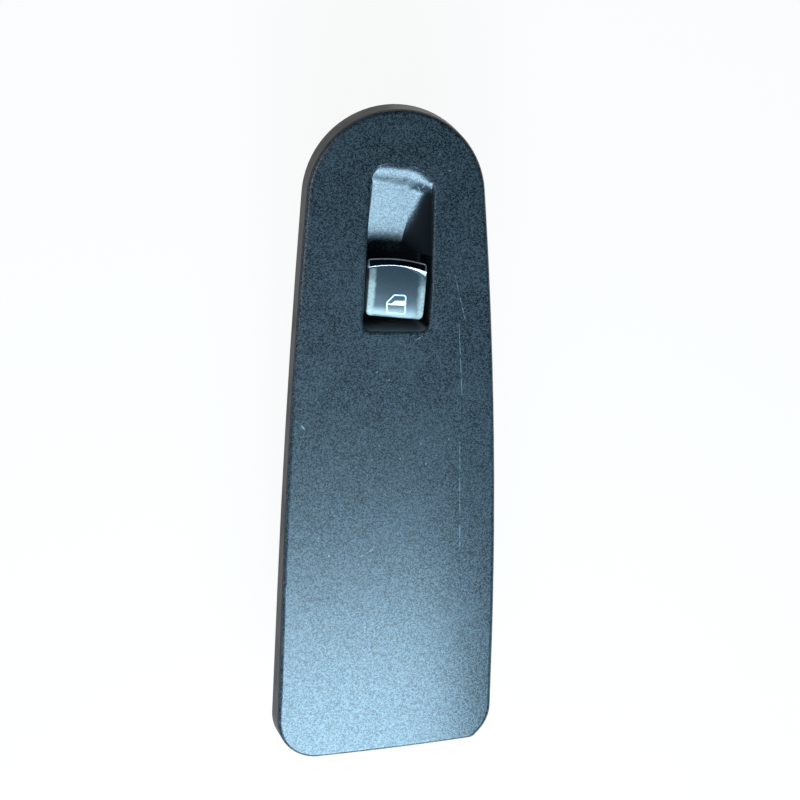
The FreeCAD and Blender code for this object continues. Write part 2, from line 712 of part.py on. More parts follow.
def chamfered_box(x0, x1, y0, y1, z0, z1, size):
    block = box(x0, x1, y0, y1, z0, z1)
    return block.makeChamfer(size, upright_edges(block))


def rounded_box(x0, x1, y0, y1, z0, z1, radius):
    block = box(x0, x1, y0, y1, z0, z1)
    return block.makeFillet(radius, upright_edges(block))


def latch_arms():
    """Four arms beside the well, their noses in its windows."""
    inner = OPENING_HALF_WIDTH + WELL_WALL + LATCH_GAP
    outer = inner + LATCH_ARM
    half = LATCH_WIDTH / 2
    nose = OPENING_HALF_WIDTH + WELL_WALL - LATCH_NOSE
    arms = []
    for side in (-1, 1):
        profile = [
            (inner, LATCH_TOP_Z),
            (nose, LATCH_TOP_Z - LATCH_NOSE_RAMP),
            (nose, LATCH_TOP_Z - LATCH_NOSE_HEIGHT),
            (inner, LATCH_TOP_Z - LATCH_NOSE_HEIGHT),
            (inner, DECK_Z - OVERLAP),
            (outer, DECK_Z - OVERLAP),
            (outer, LATCH_TOP_Z),
        ]
        for y in LATCH_YS:
            points = [Vector(side * x, y - half, z) for x, z in profile]
            face = Part.Face(Part.makePolygon(points + points[:1]))
            arms.append(face.extrude(Vector(0, LATCH_WIDTH, 0)))
    return arms


def cover_latches(gap):
    """Bumps on the cover's rim, or with a gap the windows for them."""
    inner = HOUSING_HALF_WIDTH - HOUSING_WALL
    half = COVER_LATCH_WIDTH / 2 + gap
    z0 = HOUSING_FOOT_Z + COVER_LATCH_Z - gap
    z1 = HOUSING_FOOT_Z + COVER_LATCH_Z + COVER_LATCH_HEIGHT + gap
    out = inner + (HOUSING_WALL + 1 if gap else HOUSING_WALL / 2)
    bumps = []
    for y in (HOUSING_REAR_Y + COVER_LATCH_INSET, HOUSING_FRONT_Y - COVER_LATCH_INSET):
        bumps.append(box(-out, -inner + COVER_GAP, y - half, y + half, z0, z1))
        bumps.append(box(inner - COVER_GAP, out, y - half, y + half, z0, z1))
    return bumps


def switch_housing():
    """Box with the tower that carries the rocker, latch arms, posts and screw bosses."""
    wide = HOUSING_HALF_WIDTH
    inner = wide - HOUSING_WALL
    rear = HOUSING_REAR_Y + HOUSING_WALL
    front = HOUSING_FRONT_Y - HOUSING_WALL
    ceiling = DECK_Z - HOUSING_DECK
    body = rounded_box(-wide, wide, HOUSING_REAR_Y, HOUSING_FRONT_Y, HOUSING_FOOT_Z, DECK_Z, CORNER_RADIUS)
    body = body.cut(box(-inner, inner, rear, front, HOUSING_FOOT_Z - 1, ceiling))

    tower_x = TOWER_HALF_WIDTH
    y0 = PIVOT_Y - TOWER_HALF_LENGTH
    y1 = PIVOT_Y + TOWER_HALF_LENGTH
    extras = [chamfered_box(-tower_x, tower_x, y0, y1, ceiling, TOWER_TOP_Z, TOWER_CHAMFER)]
    for side in (-1, 1):
        x0 = min(side * tower_x, side * (tower_x - CHEEK_WALL))
        extras.append(crosswise(x0, x0 + CHEEK_WALL, PIVOT_Y, PIVOT_Z, CHEEK_RADIUS))
        x1 = min(side * tower_x, side * trunnion_tip_x())
        extras.append(crosswise(x1, x1 + trunnion_tip_x() - tower_x, PIVOT_Y, PIVOT_Z, TRUNNION_RADIUS))
    extras += latch_arms()
    post = POST_SIDE
    for x in (-inner, inner - post):
        for y in (rear, front - post):
            extras.append(box(x, x + post, y, y + post, BOARD_TOP_Z, ceiling + OVERLAP))
    for x in (-BOARD_SCREW_X, BOARD_SCREW_X):
        extras.append(upright(x, BOARD_SCREW_Y, BOARD_TOP_Z, ceiling + OVERLAP, BOARD_SCREW_HEAD))
    body = body.multiFuse(extras)
    body = cut_all(body, plunger_slots(PLUNGER_GUIDE_GAP))
    body = cut_all(body, cover_latches(LATCH_GAP))
    body = body.cut(upright(0, PIVOT_Y, HOUSING_FOOT_Z, TOWER_TOP_Z + 1, GUIDE_RADIUS))
    body = body.cut(board_screws())
    return body.removeSplitter()


def trunnion_tip_x():
    return min(-CAP_LEFT_X, CAP_RIGHT_X) - TRUNNION_INSET


def light_guide():
    """Clear rod from the light on the board up to the cap."""
    return upright(0, PIVOT_Y, BOARD_TOP_Z + LED_HEIGHT + LED_GAP, GUIDE_TOP_Z, GUIDE_RADIUS)


def dome_places():
    ys = (PIVOT_Y - PLUNGER_OFFSET, PIVOT_Y + PLUNGER_OFFSET)
    return [(x, y) for x in (-DOME_X, DOME_X) for y in ys]


def dome_top_z():
    return PLUNGER_FOOT_Z - FOOT_GAP


def pill_top_z():
    return BOARD_TOP_Z + PAD_HEIGHT + CONTACT_GAP + PILL_HEIGHT


def dome_mat():
    """Rubber mat with four hollow domes, each a thin web round a stiff post."""
    sheet_top = BOARD_TOP_Z + MAT_THICKNESS
    y0 = PIVOT_Y - MAT_HALF_LENGTH
    y1 = PIVOT_Y + MAT_HALF_LENGTH
    mat = rounded_box(-MAT_HALF_WIDTH, MAT_HALF_WIDTH, y0, y1, BOARD_TOP_Z, sheet_top, CORNER_RADIUS)
    hollow_top = sheet_top + DOME_WEB - DOME_WALL
    inner = DOME_RADIUS - DOME_WALL
    inner_top = PILL_RADIUS + DOME_PILL_GAP
    domes = []
    hollows = []
    for x, y in dome_places():
        domes.append(Part.makeCone(DOME_RADIUS, DOME_TOP_RADIUS, DOME_WEB, Vector(x, y, sheet_top)))
        domes.append(upright(x, y, hollow_top, dome_top_z(), DOME_TOP_RADIUS))
        room = Part.makeCone(inner, inner_top, hollow_top - BOARD_TOP_Z, Vector(x, y, BOARD_TOP_Z))
        hollows.append(room.cut(upright(x, y, pill_top_z(), HIGH, PILL_RADIUS)))
    mat = mat.multiFuse(domes)
    mat = cut_all(mat, hollows)
    return mat.cut(upright(0, PIVOT_Y, LOW, HIGH, MAT_EYE_RADIUS))


def contact_pills():
    """The conductive pill under the post of each dome."""
    top = pill_top_z()
    return Part.makeCompound([upright(x, y, top - PILL_HEIGHT, top, PILL_RADIUS) for x, y in dome_places()])


def contact_pads():
    """The contact field on the board under each dome."""
    top = BOARD_TOP_Z + PAD_HEIGHT
    return Part.makeCompound([upright(x, y, BOARD_TOP_Z, top, PAD_RADIUS) for x, y in dome_places()])


def pin_xs():
    return [(i - (PIN_COUNT - 1) / 2) * PIN_PITCH for i in range(PIN_COUNT)]


def pin_row(grow, z0, z1):
    """The row of square pins, or with some growth the holes for them."""
    half = PIN_SIDE / 2 + grow
    return [box(x - half, x + half, PIN_ROW_Y - half, PIN_ROW_Y + half, z0, z1) for x in pin_xs()]


def terminal_pins():
    return Part.makeCompound(pin_row(0, PIN_TIP_Z, PIN_TOP_Z))


def terminal_header():
    """The strip that holds the pins on the board."""
    half = PIN_COUNT * PIN_PITCH / 2
    half_depth = PIN_PITCH / 2
    y = PIN_ROW_Y
    top = BOARD_TOP_Z + HEADER_HEIGHT
    bar = chamfered_box(-half, half, y - half_depth, y + half_depth, BOARD_TOP_Z, top, HEADER_CHAMFER)
    return cut_all(bar, pin_row(0, LOW, HIGH))


def board_screws():
    """Two screws that hold the board to the housing's bosses."""
    board_foot = BOARD_TOP_Z - BOARD_THICKNESS
    screws = []
    for side in (-1, 1):
        x = side * BOARD_SCREW_X
        y = BOARD_SCREW_Y
        head_foot = board_foot - BOARD_SCREW_HEAD_HEIGHT
        shank = upright(x, y, board_foot, BOARD_TOP_Z + BOARD_SCREW_BITE, BOARD_SCREW_RADIUS)
        head = upright(x, y, head_foot, board_foot, BOARD_SCREW_HEAD)
        long = BOARD_SCREW_RADIUS
        slim = BOARD_SCREW_RADIUS / 4
        recess_top = head_foot + BOARD_SCREW_HEAD_HEIGHT / 2
        slot = box(x - long, x + long, y - slim, y + slim, LOW, recess_top)
        cross = box(x - slim, x + slim, y - long, y + long, LOW, recess_top)
        screws.append(shank.fuse(head).cut(slot).cut(cross).removeSplitter())
    return Part.makeCompound(screws)


def circuit_board():
    wide = HOUSING_HALF_WIDTH - HOUSING_WALL - BOARD_GAP
    y0 = HOUSING_REAR_Y + HOUSING_WALL + BOARD_GAP
    y1 = HOUSING_FRONT_Y - HOUSING_WALL - BOARD_GAP
    board = box(-wide, wide, y0, y1, BOARD_TOP_Z - BOARD_THICKNESS, BOARD_TOP_Z)
    board = cut_all(board, pin_row(0, LOW, HIGH))
    for side in (-1, 1):
        board = board.cut(upright(side * BOARD_SCREW_X, BOARD_SCREW_Y, LOW, HIGH, BOARD_SCREW_RADIUS))
    return board


def symbol_led():
    half = LED_LENGTH / 2
    deep = LED_WIDTH / 2
    return box(-half, half, PIVOT_Y - deep, PIVOT_Y + deep, BOARD_TOP_Z, BOARD_TOP_Z + LED_HEIGHT)


def resistors():
    half = CHIP_WIDTH / 2
    y0 = CHIP_Y - CHIP_LENGTH / 2
    y1 = CHIP_Y + CHIP_LENGTH / 2
    top = BOARD_TOP_Z + CHIP_HEIGHT
    xs = [CHIP_X + i * CHIP_PITCH for i in range(CHIP_COUNT)]
    return Part.makeCompound([box(x - half, x + half, y0, y1, BOARD_TOP_Z, top) for x in xs])


def capacitor():
    top = BOARD_TOP_Z + CAN_HEIGHT
    can = upright(CAN_X, CHIP_Y, BOARD_TOP_Z, top, CAN_RADIUS)
    return can.makeChamfer(CAN_EDGE, [edge for edge in can.Edges if edge.BoundBox.ZMin > top - 0.01])


def base_cover():
    """Bottom cover with its rim, latch bumps and connector shroud."""
    wide = HOUSING_HALF_WIDTH
    rear = HOUSING_REAR_Y
    front = HOUSING_FRONT_Y
    plate_foot = HOUSING_FOOT_Z - COVER_PLATE
    plate = rounded_box(-wide, wide, rear, front, plate_foot, HOUSING_FOOT_Z, CORNER_RADIUS)
    x = wide - HOUSING_WALL - COVER_GAP
    y0 = rear + HOUSING_WALL + COVER_GAP
    y1 = front - HOUSING_WALL - COVER_GAP
    rim_top = BOARD_TOP_Z - BOARD_THICKNESS
    rim = box(-x, x, y0, y1, HOUSING_FOOT_Z, rim_top)
    inside = box(-x + COVER_RIM, x - COVER_RIM, y0 + COVER_RIM, y1 - COVER_RIM, HOUSING_FOOT_Z, rim_top)
    rim = rim.cut(inside)
    sx = SHROUD_HALF_WIDTH
    sy = SHROUD_HALF_DEPTH
    shroud = rounded_box(-sx, sx, PIN_ROW_Y - sy, PIN_ROW_Y + sy, SHROUD_FOOT_Z, plate_foot, SHROUD_RADIUS)
    side = PIN_ROW_Y + sy
    ramp_z = SHROUD_FOOT_Z + RAMP_Z
    ramp = [(side, ramp_z), (side + RAMP_HEIGHT, ramp_z + RAMP_LENGTH), (side, ramp_z + RAMP_LENGTH)]
    catch = side_prism(ramp, -RAMP_WIDTH / 2, RAMP_WIDTH / 2)
    body = plate.multiFuse([rim, shroud, catch] + cover_latches(0))
    ix = sx - SHROUD_WALL
    iy = sy - SHROUD_WALL
    roof = plate_foot - SHROUD_ROOF
    body = body.cut(box(-ix, ix, PIN_ROW_Y - iy, PIN_ROW_Y + iy, SHROUD_FOOT_Z - 1, roof))
    key_y = PIN_ROW_Y + iy - KEY_INSET
    keys = [
        box(-ix, -ix + KEY_WIDTH, key_y - KEY_DEPTH, key_y, SHROUD_FOOT_Z, plate_foot),
        box(ix - KEY_WIDTH, ix, key_y - KEY_DEPTH, key_y, SHROUD_FOOT_Z, plate_foot),
    ]
    body = body.multiFuse(keys)
    return cut_all(body, pin_row(PIN_HOLE_GAP, LOW, HIGH)).removeSplitter()


def retaining_clips():
    """One folded spring-steel clip on each blade."""
    thick = BLADE_THICKNESS / 2
    tip = -BLADE_LENGTH
    top = tip + CLIP_LEG
    knee = tip + CLIP_LEG / 2
    sheet = CLIP_SHEET
    right = [
        (thick + sheet, top),
        (thick + CLIP_BULGE + sheet, knee),
        (thick + sheet * 0.7, tip - sheet),
    ]
    inner = [(thick, tip), (thick + CLIP_BULGE, knee), (thick, top)]
    half_right = right + [(0, tip - sheet), (0, tip)] + inner
    half_left = [(-y, z) for y, z in half_right]
    clips = []
    for x, y in BLADE_PLACES:
        halves = []
        for profile in (half_right, half_left):
            halves.append(side_prism(profile, x - CLIP_WIDTH / 2, x + CLIP_WIDTH / 2))
        clip = halves[0].fuse(halves[1]).removeSplitter()
        clip.translate(Vector(0, y, 0))
        clips.append(clip)
    return Part.makeCompound(clips)


def save(name, shape):
    """Write one node, a single solid or a group of like solids."""
    solids = shape.Solids
    print(name, len(solids), round(sum(solid.Volume for solid in solids), 2), shape.isValid())
    out = solids[0] if len(solids) == 1 else Part.makeCompound(solids)
    out.exportStep("parts/" + name + ".step")


NODES = {
    "trim_panel": trim_panel,
    "retaining_clips": retaining_clips,
    "switch_housing": switch_housing,
    "base_cover": base_cover,
    "rocker_cap": rocker_cap,
    "lip_strip": lip_strip,
    "symbol_lens": symbol_lens,
    "plunger_rear": lambda: plunger(0),
    "plunger_front": lambda: plunger(1),
    "light_guide": light_guide,
    "dome_mat": dome_mat,
    "contact_pills": contact_pills,
    "contact_pads": contact_pads,
    "circuit_board": circuit_board,
    "board_screws": board_screws,
    "symbol_led": symbol_led,
    "resistors": resistors,
    "capacitor": capacitor,
    "terminal_header": terminal_header,
    "terminal_pins": terminal_pins,
}

os.makedirs("parts", exist_ok=True)
for node, make in NODES.items():
    save(node, make())
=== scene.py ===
# %% [markdown]
# # Dressing a power window switch
# The object is an interior trim panel with one recessed rocker for a side window. The
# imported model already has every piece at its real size. This lesson gives each piece the
# finish of the real one and adds the few small things that are too fine for a solid: the
# bright strip's raised edges, the symbol on the rocker and the marks that use has left.

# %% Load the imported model
import bpy
import numpy as np
from mathutils import Matrix, Vector


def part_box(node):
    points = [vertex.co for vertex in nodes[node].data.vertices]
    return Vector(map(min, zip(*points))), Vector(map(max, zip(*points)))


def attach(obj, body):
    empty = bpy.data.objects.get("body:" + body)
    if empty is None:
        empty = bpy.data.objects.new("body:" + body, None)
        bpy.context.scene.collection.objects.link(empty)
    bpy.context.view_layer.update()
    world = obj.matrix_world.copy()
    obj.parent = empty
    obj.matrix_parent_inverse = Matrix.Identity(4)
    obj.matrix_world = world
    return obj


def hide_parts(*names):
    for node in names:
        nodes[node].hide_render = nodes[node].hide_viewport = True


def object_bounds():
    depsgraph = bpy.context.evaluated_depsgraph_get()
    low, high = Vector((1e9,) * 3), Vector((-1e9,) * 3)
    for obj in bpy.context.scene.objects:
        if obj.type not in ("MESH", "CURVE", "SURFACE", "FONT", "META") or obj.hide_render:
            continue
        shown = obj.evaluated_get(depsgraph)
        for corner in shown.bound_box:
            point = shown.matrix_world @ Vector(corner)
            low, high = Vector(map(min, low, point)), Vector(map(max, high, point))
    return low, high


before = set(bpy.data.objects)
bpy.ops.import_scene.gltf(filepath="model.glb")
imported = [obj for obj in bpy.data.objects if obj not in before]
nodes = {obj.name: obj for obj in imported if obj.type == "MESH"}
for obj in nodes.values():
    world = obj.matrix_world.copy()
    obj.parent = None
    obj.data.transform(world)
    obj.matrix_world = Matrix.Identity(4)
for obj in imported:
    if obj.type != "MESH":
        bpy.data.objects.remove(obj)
cad_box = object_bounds()
MM = 0.001
print("pieces in the packed model:", len(nodes))

# %% [markdown]
# ## Small helpers
# A colour is written as the sRGB hex value that one would pick from a sample, and one
# function turns it into the linear numbers that the shaders use. A second function adds a
# node and fills its sockets, either with a number or with a link from another node. With
# these two, a material reads from top to bottom like a recipe.

# %% Colours and nodes
def colour(code):
    """An sRGB hex value as a linear colour with full alpha."""
    srgb = np.array([int(code[i:i + 2], 16) for i in (1, 3, 5)]) / 255
    low = srgb / 12.92
    high = ((srgb + 0.055) / 1.055) ** 2.4
    return (*np.where(srgb <= 0.04045, low, high).tolist(), 1.0)


def add(tree, kind, inputs=(), **settings):
    """Adds one node: settings are its own properties, inputs its sockets' values or links.

    The inputs are a dict, or a sequence in the order of the sockets. A node given as an
    input stands for its first output that is in use."""
    node = tree.nodes.new("ShaderNode" + kind)
    for key, value in settings.items():
        setattr(node, key, value)
    for key, value in inputs.items() if isinstance(inputs, dict) else enumerate(inputs):
        if isinstance(value, bpy.types.Node):
            value = next(output for output in value.outputs if output.enabled)
        if isinstance(value, bpy.types.NodeSocket):
            tree.links.new(value, node.inputs[key])
        else:
            node.inputs[key].default_value = value
    return node


# Settings that many nodes share.
SMOOTH = {"interpolation_type": "SMOOTHSTEP"}
TIMES = {"operation": "MULTIPLY"}
LESS = {"operation": "SUBTRACT"}
PLUS = {"operation": "ADD"}
LARGER = {"operation": "MAXIMUM"}
COLOURS = {"data_type": "RGBA"}

# %% [markdown]
# In a map range node the numbers are the stretch it reads and the range it gives; without
# a range it gives 0 to 1. In a mix node socket 0 is the factor, and 6 and 7 are the two
# colours. Patterns read object coordinates, which are the row's own metres here, so they
# keep their real size and stay on their piece when it moves. A noise scale is limited, so
# the coordinates are scaled instead.

# %% Recipes that materials share
def new_material(name):
    """An empty material with its output node."""
    made = bpy.data.materials.new(name)
    made.use_nodes = True
    made.node_tree.nodes.clear()
    output = made.node_tree.nodes.new("ShaderNodeOutputMaterial")
    return made, made.node_tree, output


def surface(tree, output, inputs):
    """Joins a principled shader with these inputs to the output."""
    shader = add(tree, "BsdfPrincipled", inputs)
    tree.links.new(shader.outputs["BSDF"], output.inputs["Surface"])


def counted(tree, size, stretch=(1, 1, 1)):
    """The place on the piece, counted in steps of this size; stretch lengthens them on an axis."""
    where = add(tree, "TexCoord").outputs["Object"]
    scale = [1 / (size * factor) for factor in stretch]
    return add(tree, "Mapping", {"Vector": where, "Scale": scale})


def noise(tree, size, detail=2.0, stretch=(1, 1, 1)):
    """Noise whose lumps are about size wide, in metres."""
    place = counted(tree, size, stretch)
    return add(tree, "TexNoise", {"Vector": place, "Scale": 1.0, "Detail": detail})
def dress(node, made):
    """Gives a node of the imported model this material."""
    mesh = nodes[node].data
    if not mesh.materials:
        mesh.materials.append(made)
    for slot in range(len(mesh.materials)):
        mesh.materials[slot] = made


# %% [markdown]
# ## The camera
# The camera stands above the panel, a little to the left and towards its rounded end, and
# is rolled by a few degrees. Its place was worked out from the outline and the rims of
# the opening. A long lens keeps the two long sides almost parallel.

# %% Camera
LOOK_AT = Vector((2.7, 0.0, 7.5)) * MM
CAMERA_PLACE = Vector((-132.27, 155.29, 571.12)) * MM
CAMERA_RIGHT = Vector((0.9744, 0.0573, 0.2175))
LENS = 81.8
SENSOR = 36.0

backwards = (CAMERA_PLACE - LOOK_AT).normalized()
upwards = backwards.cross(CAMERA_RIGHT).normalized()
sideways = upwards.cross(backwards)
turn = Matrix((sideways, upwards, backwards)).transposed().to_4x4()
camera_data = bpy.data.cameras.new("camera")
camera_data.lens = LENS
camera_data.sensor_width = SENSOR
camera = bpy.data.objects.new("camera", camera_data)
camera.matrix_world = Matrix.Translation(CAMERA_PLACE) @ turn
bpy.context.scene.collection.objects.link(camera)
bpy.context.scene.camera = camera
print("camera", [round(value, 3) for value in camera.location])

# %% [markdown]
# ## Floor and light
# The part hangs from its seat with the clips and the connector below it, so the floor
# lies just under the connector. It is white paper. A dark lacquer shows mostly what it
# mirrors, so the place of the window decides where the panel looks bright. The window
# stands close beyond the slanted end: from there its reflection covers that end and the
# slanted floor of the finger scoop, and dies away towards the rounded end. The rest of
# the room is dim and cool.

# %% Floor
FLOOR_GAP = 0.4 * MM
FLOOR_SIZE = 3.0
OWN_WHITE = 0.93             # share of plain white that the camera sees in the paper

floor_z = cad_box[0][2] - FLOOR_GAP
half = FLOOR_SIZE / 2
floor_corners = [(x * half, y * half, floor_z) for x, y in ((-1, -1), (1, -1), (1, 1), (-1, 1))]
floor_mesh = bpy.data.meshes.new("floor")
floor_mesh.from_pydata(floor_corners, [], [(0, 1, 2, 3)])
floor = bpy.data.objects.new("floor", floor_mesh)
bpy.context.scene.collection.objects.link(floor)

paper, tree, output = new_material("white paper")
paths = add(tree, "LightPath").outputs
seen = add(tree, "Math", (paths["Is Camera Ray"], paths["Is Transmission Ray"]), **LARGER)
seen = add(tree, "Math", (seen, paths["Is Glossy Ray"]), **LARGER)
share = add(tree, "Math", (seen, OWN_WHITE), **TIMES)
matt = add(tree, "BsdfDiffuse", {"Color": colour("#D8DCDE")})
glow = add(tree, "Emission", {"Color": colour("#FFFFFF"), "Strength": 1.0})
both = add(tree, "MixShader", (share, matt, glow))
tree.links.new(both.outputs[0], output.inputs["Surface"])
floor_mesh.materials.append(paper)

# %% Window, pale wall and room
WINDOW_PLACE = Vector((3, -302, 251)) * MM
WINDOW_SIZE = (290 * MM, 290 * MM)
WINDOW_POWER = 4.5
WINDOW_AIM = Vector((3, -112, -26)) * MM
WALL_PLACE = Vector((-310, 90, 340)) * MM
WALL_SIZE = (340 * MM, 190 * MM)
WALL_POWER = 0.45
WALL_AIM = Vector((0, 90, 8)) * MM
ROOM_LIGHT = 0.20


def area_lamp(name, location, aim, size, power, tone):
    """A rectangular lamp at a place, turned to face the aim; size is its width and height."""
    data = bpy.data.lights.new(name, "AREA")
    data.shape = "RECTANGLE"
    data.size, data.size_y = size
    data.energy = power
    data.color = colour(tone)[:3]
    lamp = bpy.data.objects.new(name, data)
    lamp.location = location
    lamp.rotation_euler = (location - aim).to_track_quat("Z", "Y").to_euler()
    bpy.context.scene.collection.objects.link(lamp)


area_lamp("window", WINDOW_PLACE, WINDOW_AIM, WINDOW_SIZE, WINDOW_POWER, "#BCE6FF")
area_lamp("pale_wall", WALL_PLACE, WALL_AIM, WALL_SIZE, WALL_POWER, "#F3F6F4")

world = bpy.data.worlds.new("room")
bpy.context.scene.world = world
world.use_nodes = True
world.node_tree.nodes.clear()
room_output = world.node_tree.nodes.new("ShaderNodeOutputWorld")
room = add(world.node_tree, "Background", {"Color": colour("#ADDAF7"), "Strength": ROOM_LIGHT})
world.node_tree.links.new(room.outputs[0], room_output.inputs["Surface"])
bpy.context.scene.view_settings.view_transform = "Standard"

# %% [markdown]
# ## The trim panel's lacquer
# The panel is moulded in black ABS and sprayed on its visible side with a matt lacquer
# that has a fine, slightly sparkling grain. To the eye it is almost black where it
# mirrors the dim room, and pale blue where it mirrors the window. A thin rough clear
# layer over a dark base gives that, and the grain thins that layer in places. The real
# grain is about 0.2 mm. Its flakes are drawn at 0.32 mm and its relief at 0.55 mm, because
# finer grain doesn't show at this distance. The skirt, the well's walls and the scoop's
# slanted side get no clear layer and a darker base, and that darkness is painted shade. The
# wall behind the cap gets a pale grey base instead, which is painted light.

# %% Grain, scratches and spots
GRAIN_SIZE = 0.55 * MM
GRAIN_DEPTH = 0.016 * MM
FLAKE_SIZE = 0.32 * MM
SCRATCH_DEPTH = 0.01 * MM
LACQUER_ROUGHNESS = 0.36
COAT_ROUGHNESS = 0.27
NO_LENGTH = 1e-12            # stands in for the squared length of a speck's line


def flat_place(tree, wobble, size):
    """The place in plan, pushed about by up to wobble so that lines look drawn by chance."""
    where = add(tree, "TexCoord").outputs["Object"]
    cloud = noise(tree, size).outputs["Color"]
    centred = add(tree, "VectorMath", (cloud, (0.5, 0.5, 0.5)), **LESS)
    push = add(tree, "VectorMath", {0: centred, 3: wobble}, operation="SCALE")
    moved = add(tree, "VectorMath", (where, push), **PLUS)
    return add(tree, "VectorMath", (moved, (1, 1, 0)), **TIMES)


def scratch(tree, where, start, end, width):
    """A mask that is 1 on the line from start to end, in mm, and fades out at width from it.

    The nearest point of the line is its start plus the line's vector times the share of it
    that lies before the place, held between 0 and 1."""
    first = Vector((*start, 0)) * MM
    line = Vector((*end, 0)) * MM - first
    squared = max(line.length_squared, NO_LENGTH)
    offset = add(tree, "VectorMath", (where, first), **LESS)
    dot = add(tree, "VectorMath", (offset, line), operation="DOT_PRODUCT")
    along = add(tree, "Math", (dot, squared), operation="DIVIDE", use_clamp=True)
    foot = add(tree, "VectorMath", {0: line, 3: along}, operation="SCALE")
    gap = add(tree, "VectorMath", (offset, foot), operation="DISTANCE")
    return add(tree, "MapRange", (gap, 0.0, width * MM, 1.0, 0.0), **SMOOTH)


def strongest(tree, masks):
    """The largest of several masks."""
    result = masks[0]
    for mask in masks[1:]:
        result = add(tree, "Math", (result, mask), **LARGER)
    return result


# %% Where the panel is marked
# Start, end and half width in mm, read off the visible side.
FINE_SCRATCHES = (
    ((18.6, 42.2), (23.1, 27.5), 0.22),
    ((21.1, 26.5), (23.9, 1.5), 0.20),
    ((24.3, -14.8), (26.8, -53.1), 0.18),
    ((-8.0, -54.6), (-2.3, -51.1), 0.20),
    ((6.9, 20.4), (9.0, 21.6), 0.20),
)
CHIPS = (
    ((-29.6, -9.0), (-28.8, -10.0), 0.34),
    ((6.1, 70.3), (6.7, 71.7), 0.26),
    ((4.9, 70.5), (6.0, 68.8), 0.24),
    ((-10.5, 69.6), (-9.6, 71.9), 0.22),
)
SPECKS = (
    (-5.6, 9.5), (-1.4, 6.8), (10.7, 81.6), (14.4, 76.3), (28.8, 55.9), (10.8, -15.2),
    (20.4, -13.7), (-3.5, -15.8), (3.9, -20.4), (12.9, -22.2), (-18.6, -54.1),
)
SPECK_RADIUS = 0.30
DUST_SPACING = 3.2 * MM
DUST_RADIUS = 0.13 * MM

# %% Where the spray reaches, and where shade and light are painted
# Each pair is the stretch over which a mask fades: a place, or a part of the normal.
LEFT_OF_SCOOP = (-12 * MM, -10 * MM)
TOP_LEVEL = (6.4 * MM, 7.2 * MM)
BEHIND_CAP = (30 * MM, 40 * MM)
FACES_UP = (0.25, 0.75)
FACES_RIGHT = (-0.55, -0.30)
FACES_FORWARD = (0.5, 0.9)

lacquer, tree, output = new_material("matt lacquer on moulded ABS")
facing = add(tree, "SeparateXYZ", (add(tree, "NewGeometry").outputs["Normal"],)).outputs
spot = add(tree, "SeparateXYZ", (add(tree, "TexCoord").outputs["Object"],)).outputs
left = add(tree, "MapRange", (spot["X"], *LEFT_OF_SCOOP, 1.0, 0.0), **SMOOTH)
high = add(tree, "MapRange", (spot["Z"], *TOP_LEVEL), **SMOOTH)
turned = add(tree, "MapRange", (facing["X"], *FACES_RIGHT), **SMOOTH)
upward = add(tree, "MapRange", (facing["Z"], *FACES_UP), **SMOOTH)
# Where this mask is 0 (the skirt, the walls and the scoop's slanted side) the clear layer is left off and
# the base is darker: that darkness is painted shade.
sprayed_and_unshaded = add(tree, "Math", (upward, strongest(tree, [left, high, turned])), **TIMES)
# The forward-facing wall behind the cap gets a pale base: painted light, not the plastic's own colour.
behind = add(tree, "MapRange", (spot["Y"], *BEHIND_CAP, 1.0, 0.0), **SMOOTH)
forward = add(tree, "MapRange", (facing["Y"], *FACES_FORWARD), **SMOOTH)
painted_wall_light = add(tree, "Math", (forward, behind), **TIMES)

# %% Marks of use
WOBBLE = 0.25 * MM           # scratches stray by this much, over this length
WOBBLE_SIZE = 2.0 * MM
GAPS_SIZE = 1.6 * MM         # of the places where a scratch breaks off
SMUDGE_SIZE = 14 * MM
LINES_SHOW = 0.4
CHIPS_SHOW = 0.55
SPECKS_SHOW = 0.7
DUST_SHOWS = 0.4

where = flat_place(tree, WOBBLE, WOBBLE_SIZE)
broken = add(tree, "MapRange", (noise(tree, GAPS_SIZE, 3.0), 0.40, 0.56, 0.15, 1.0), **SMOOTH)
lines = strongest(tree, [scratch(tree, where, *line) for line in FINE_SCRATCHES])
lines = add(tree, "Math", (lines, broken), **TIMES)
lines = add(tree, "Math", (lines, LINES_SHOW), **TIMES)
chips = strongest(tree, [scratch(tree, where, *line) for line in CHIPS])
chips = add(tree, "Math", (chips, CHIPS_SHOW), **TIMES)
specks = strongest(tree, [scratch(tree, where, speck, speck, SPECK_RADIUS) for speck in SPECKS])
specks = add(tree, "Math", (specks, SPECKS_SHOW), **TIMES)
grains = add(tree, "TexVoronoi", {"Vector": counted(tree, DUST_SPACING), "Scale": 1.0})
dust = add(tree, "MapRange", (grains, 0.0, DUST_RADIUS / DUST_SPACING * 2, DUST_SHOWS, 0.0), **SMOOTH)
marks = strongest(tree, [lines, chips, specks, dust])
marks = add(tree, "Math", (marks, sprayed_and_unshaded), **TIMES)
smudge = add(tree, "MapRange", (noise(tree, SMUDGE_SIZE, 5.0), 0.45, 0.75), **SMOOTH)
smudge = add(tree, "Math", (smudge, 0.35), **TIMES)

# %% Lacquer
flakes = add(tree, "TexVoronoi", {"Vector": counted(tree, FLAKE_SIZE), "Scale": 1.0}).outputs["Color"]
thin = add(tree, "MapRange", (add(tree, "SeparateXYZ", (flakes,)), 0.1, 0.9), **SMOOTH)
tone = add(tree, "Mix", {0: thin, 6: colour("#06080A"), 7: colour("#3D464C")}, **COLOURS)
clouded = add(tree, "Math", (smudge, 0.4), **TIMES)
tone = add(tree, "Mix", {0: clouded, 6: tone, 7: colour("#4C565C")}, **COLOURS)
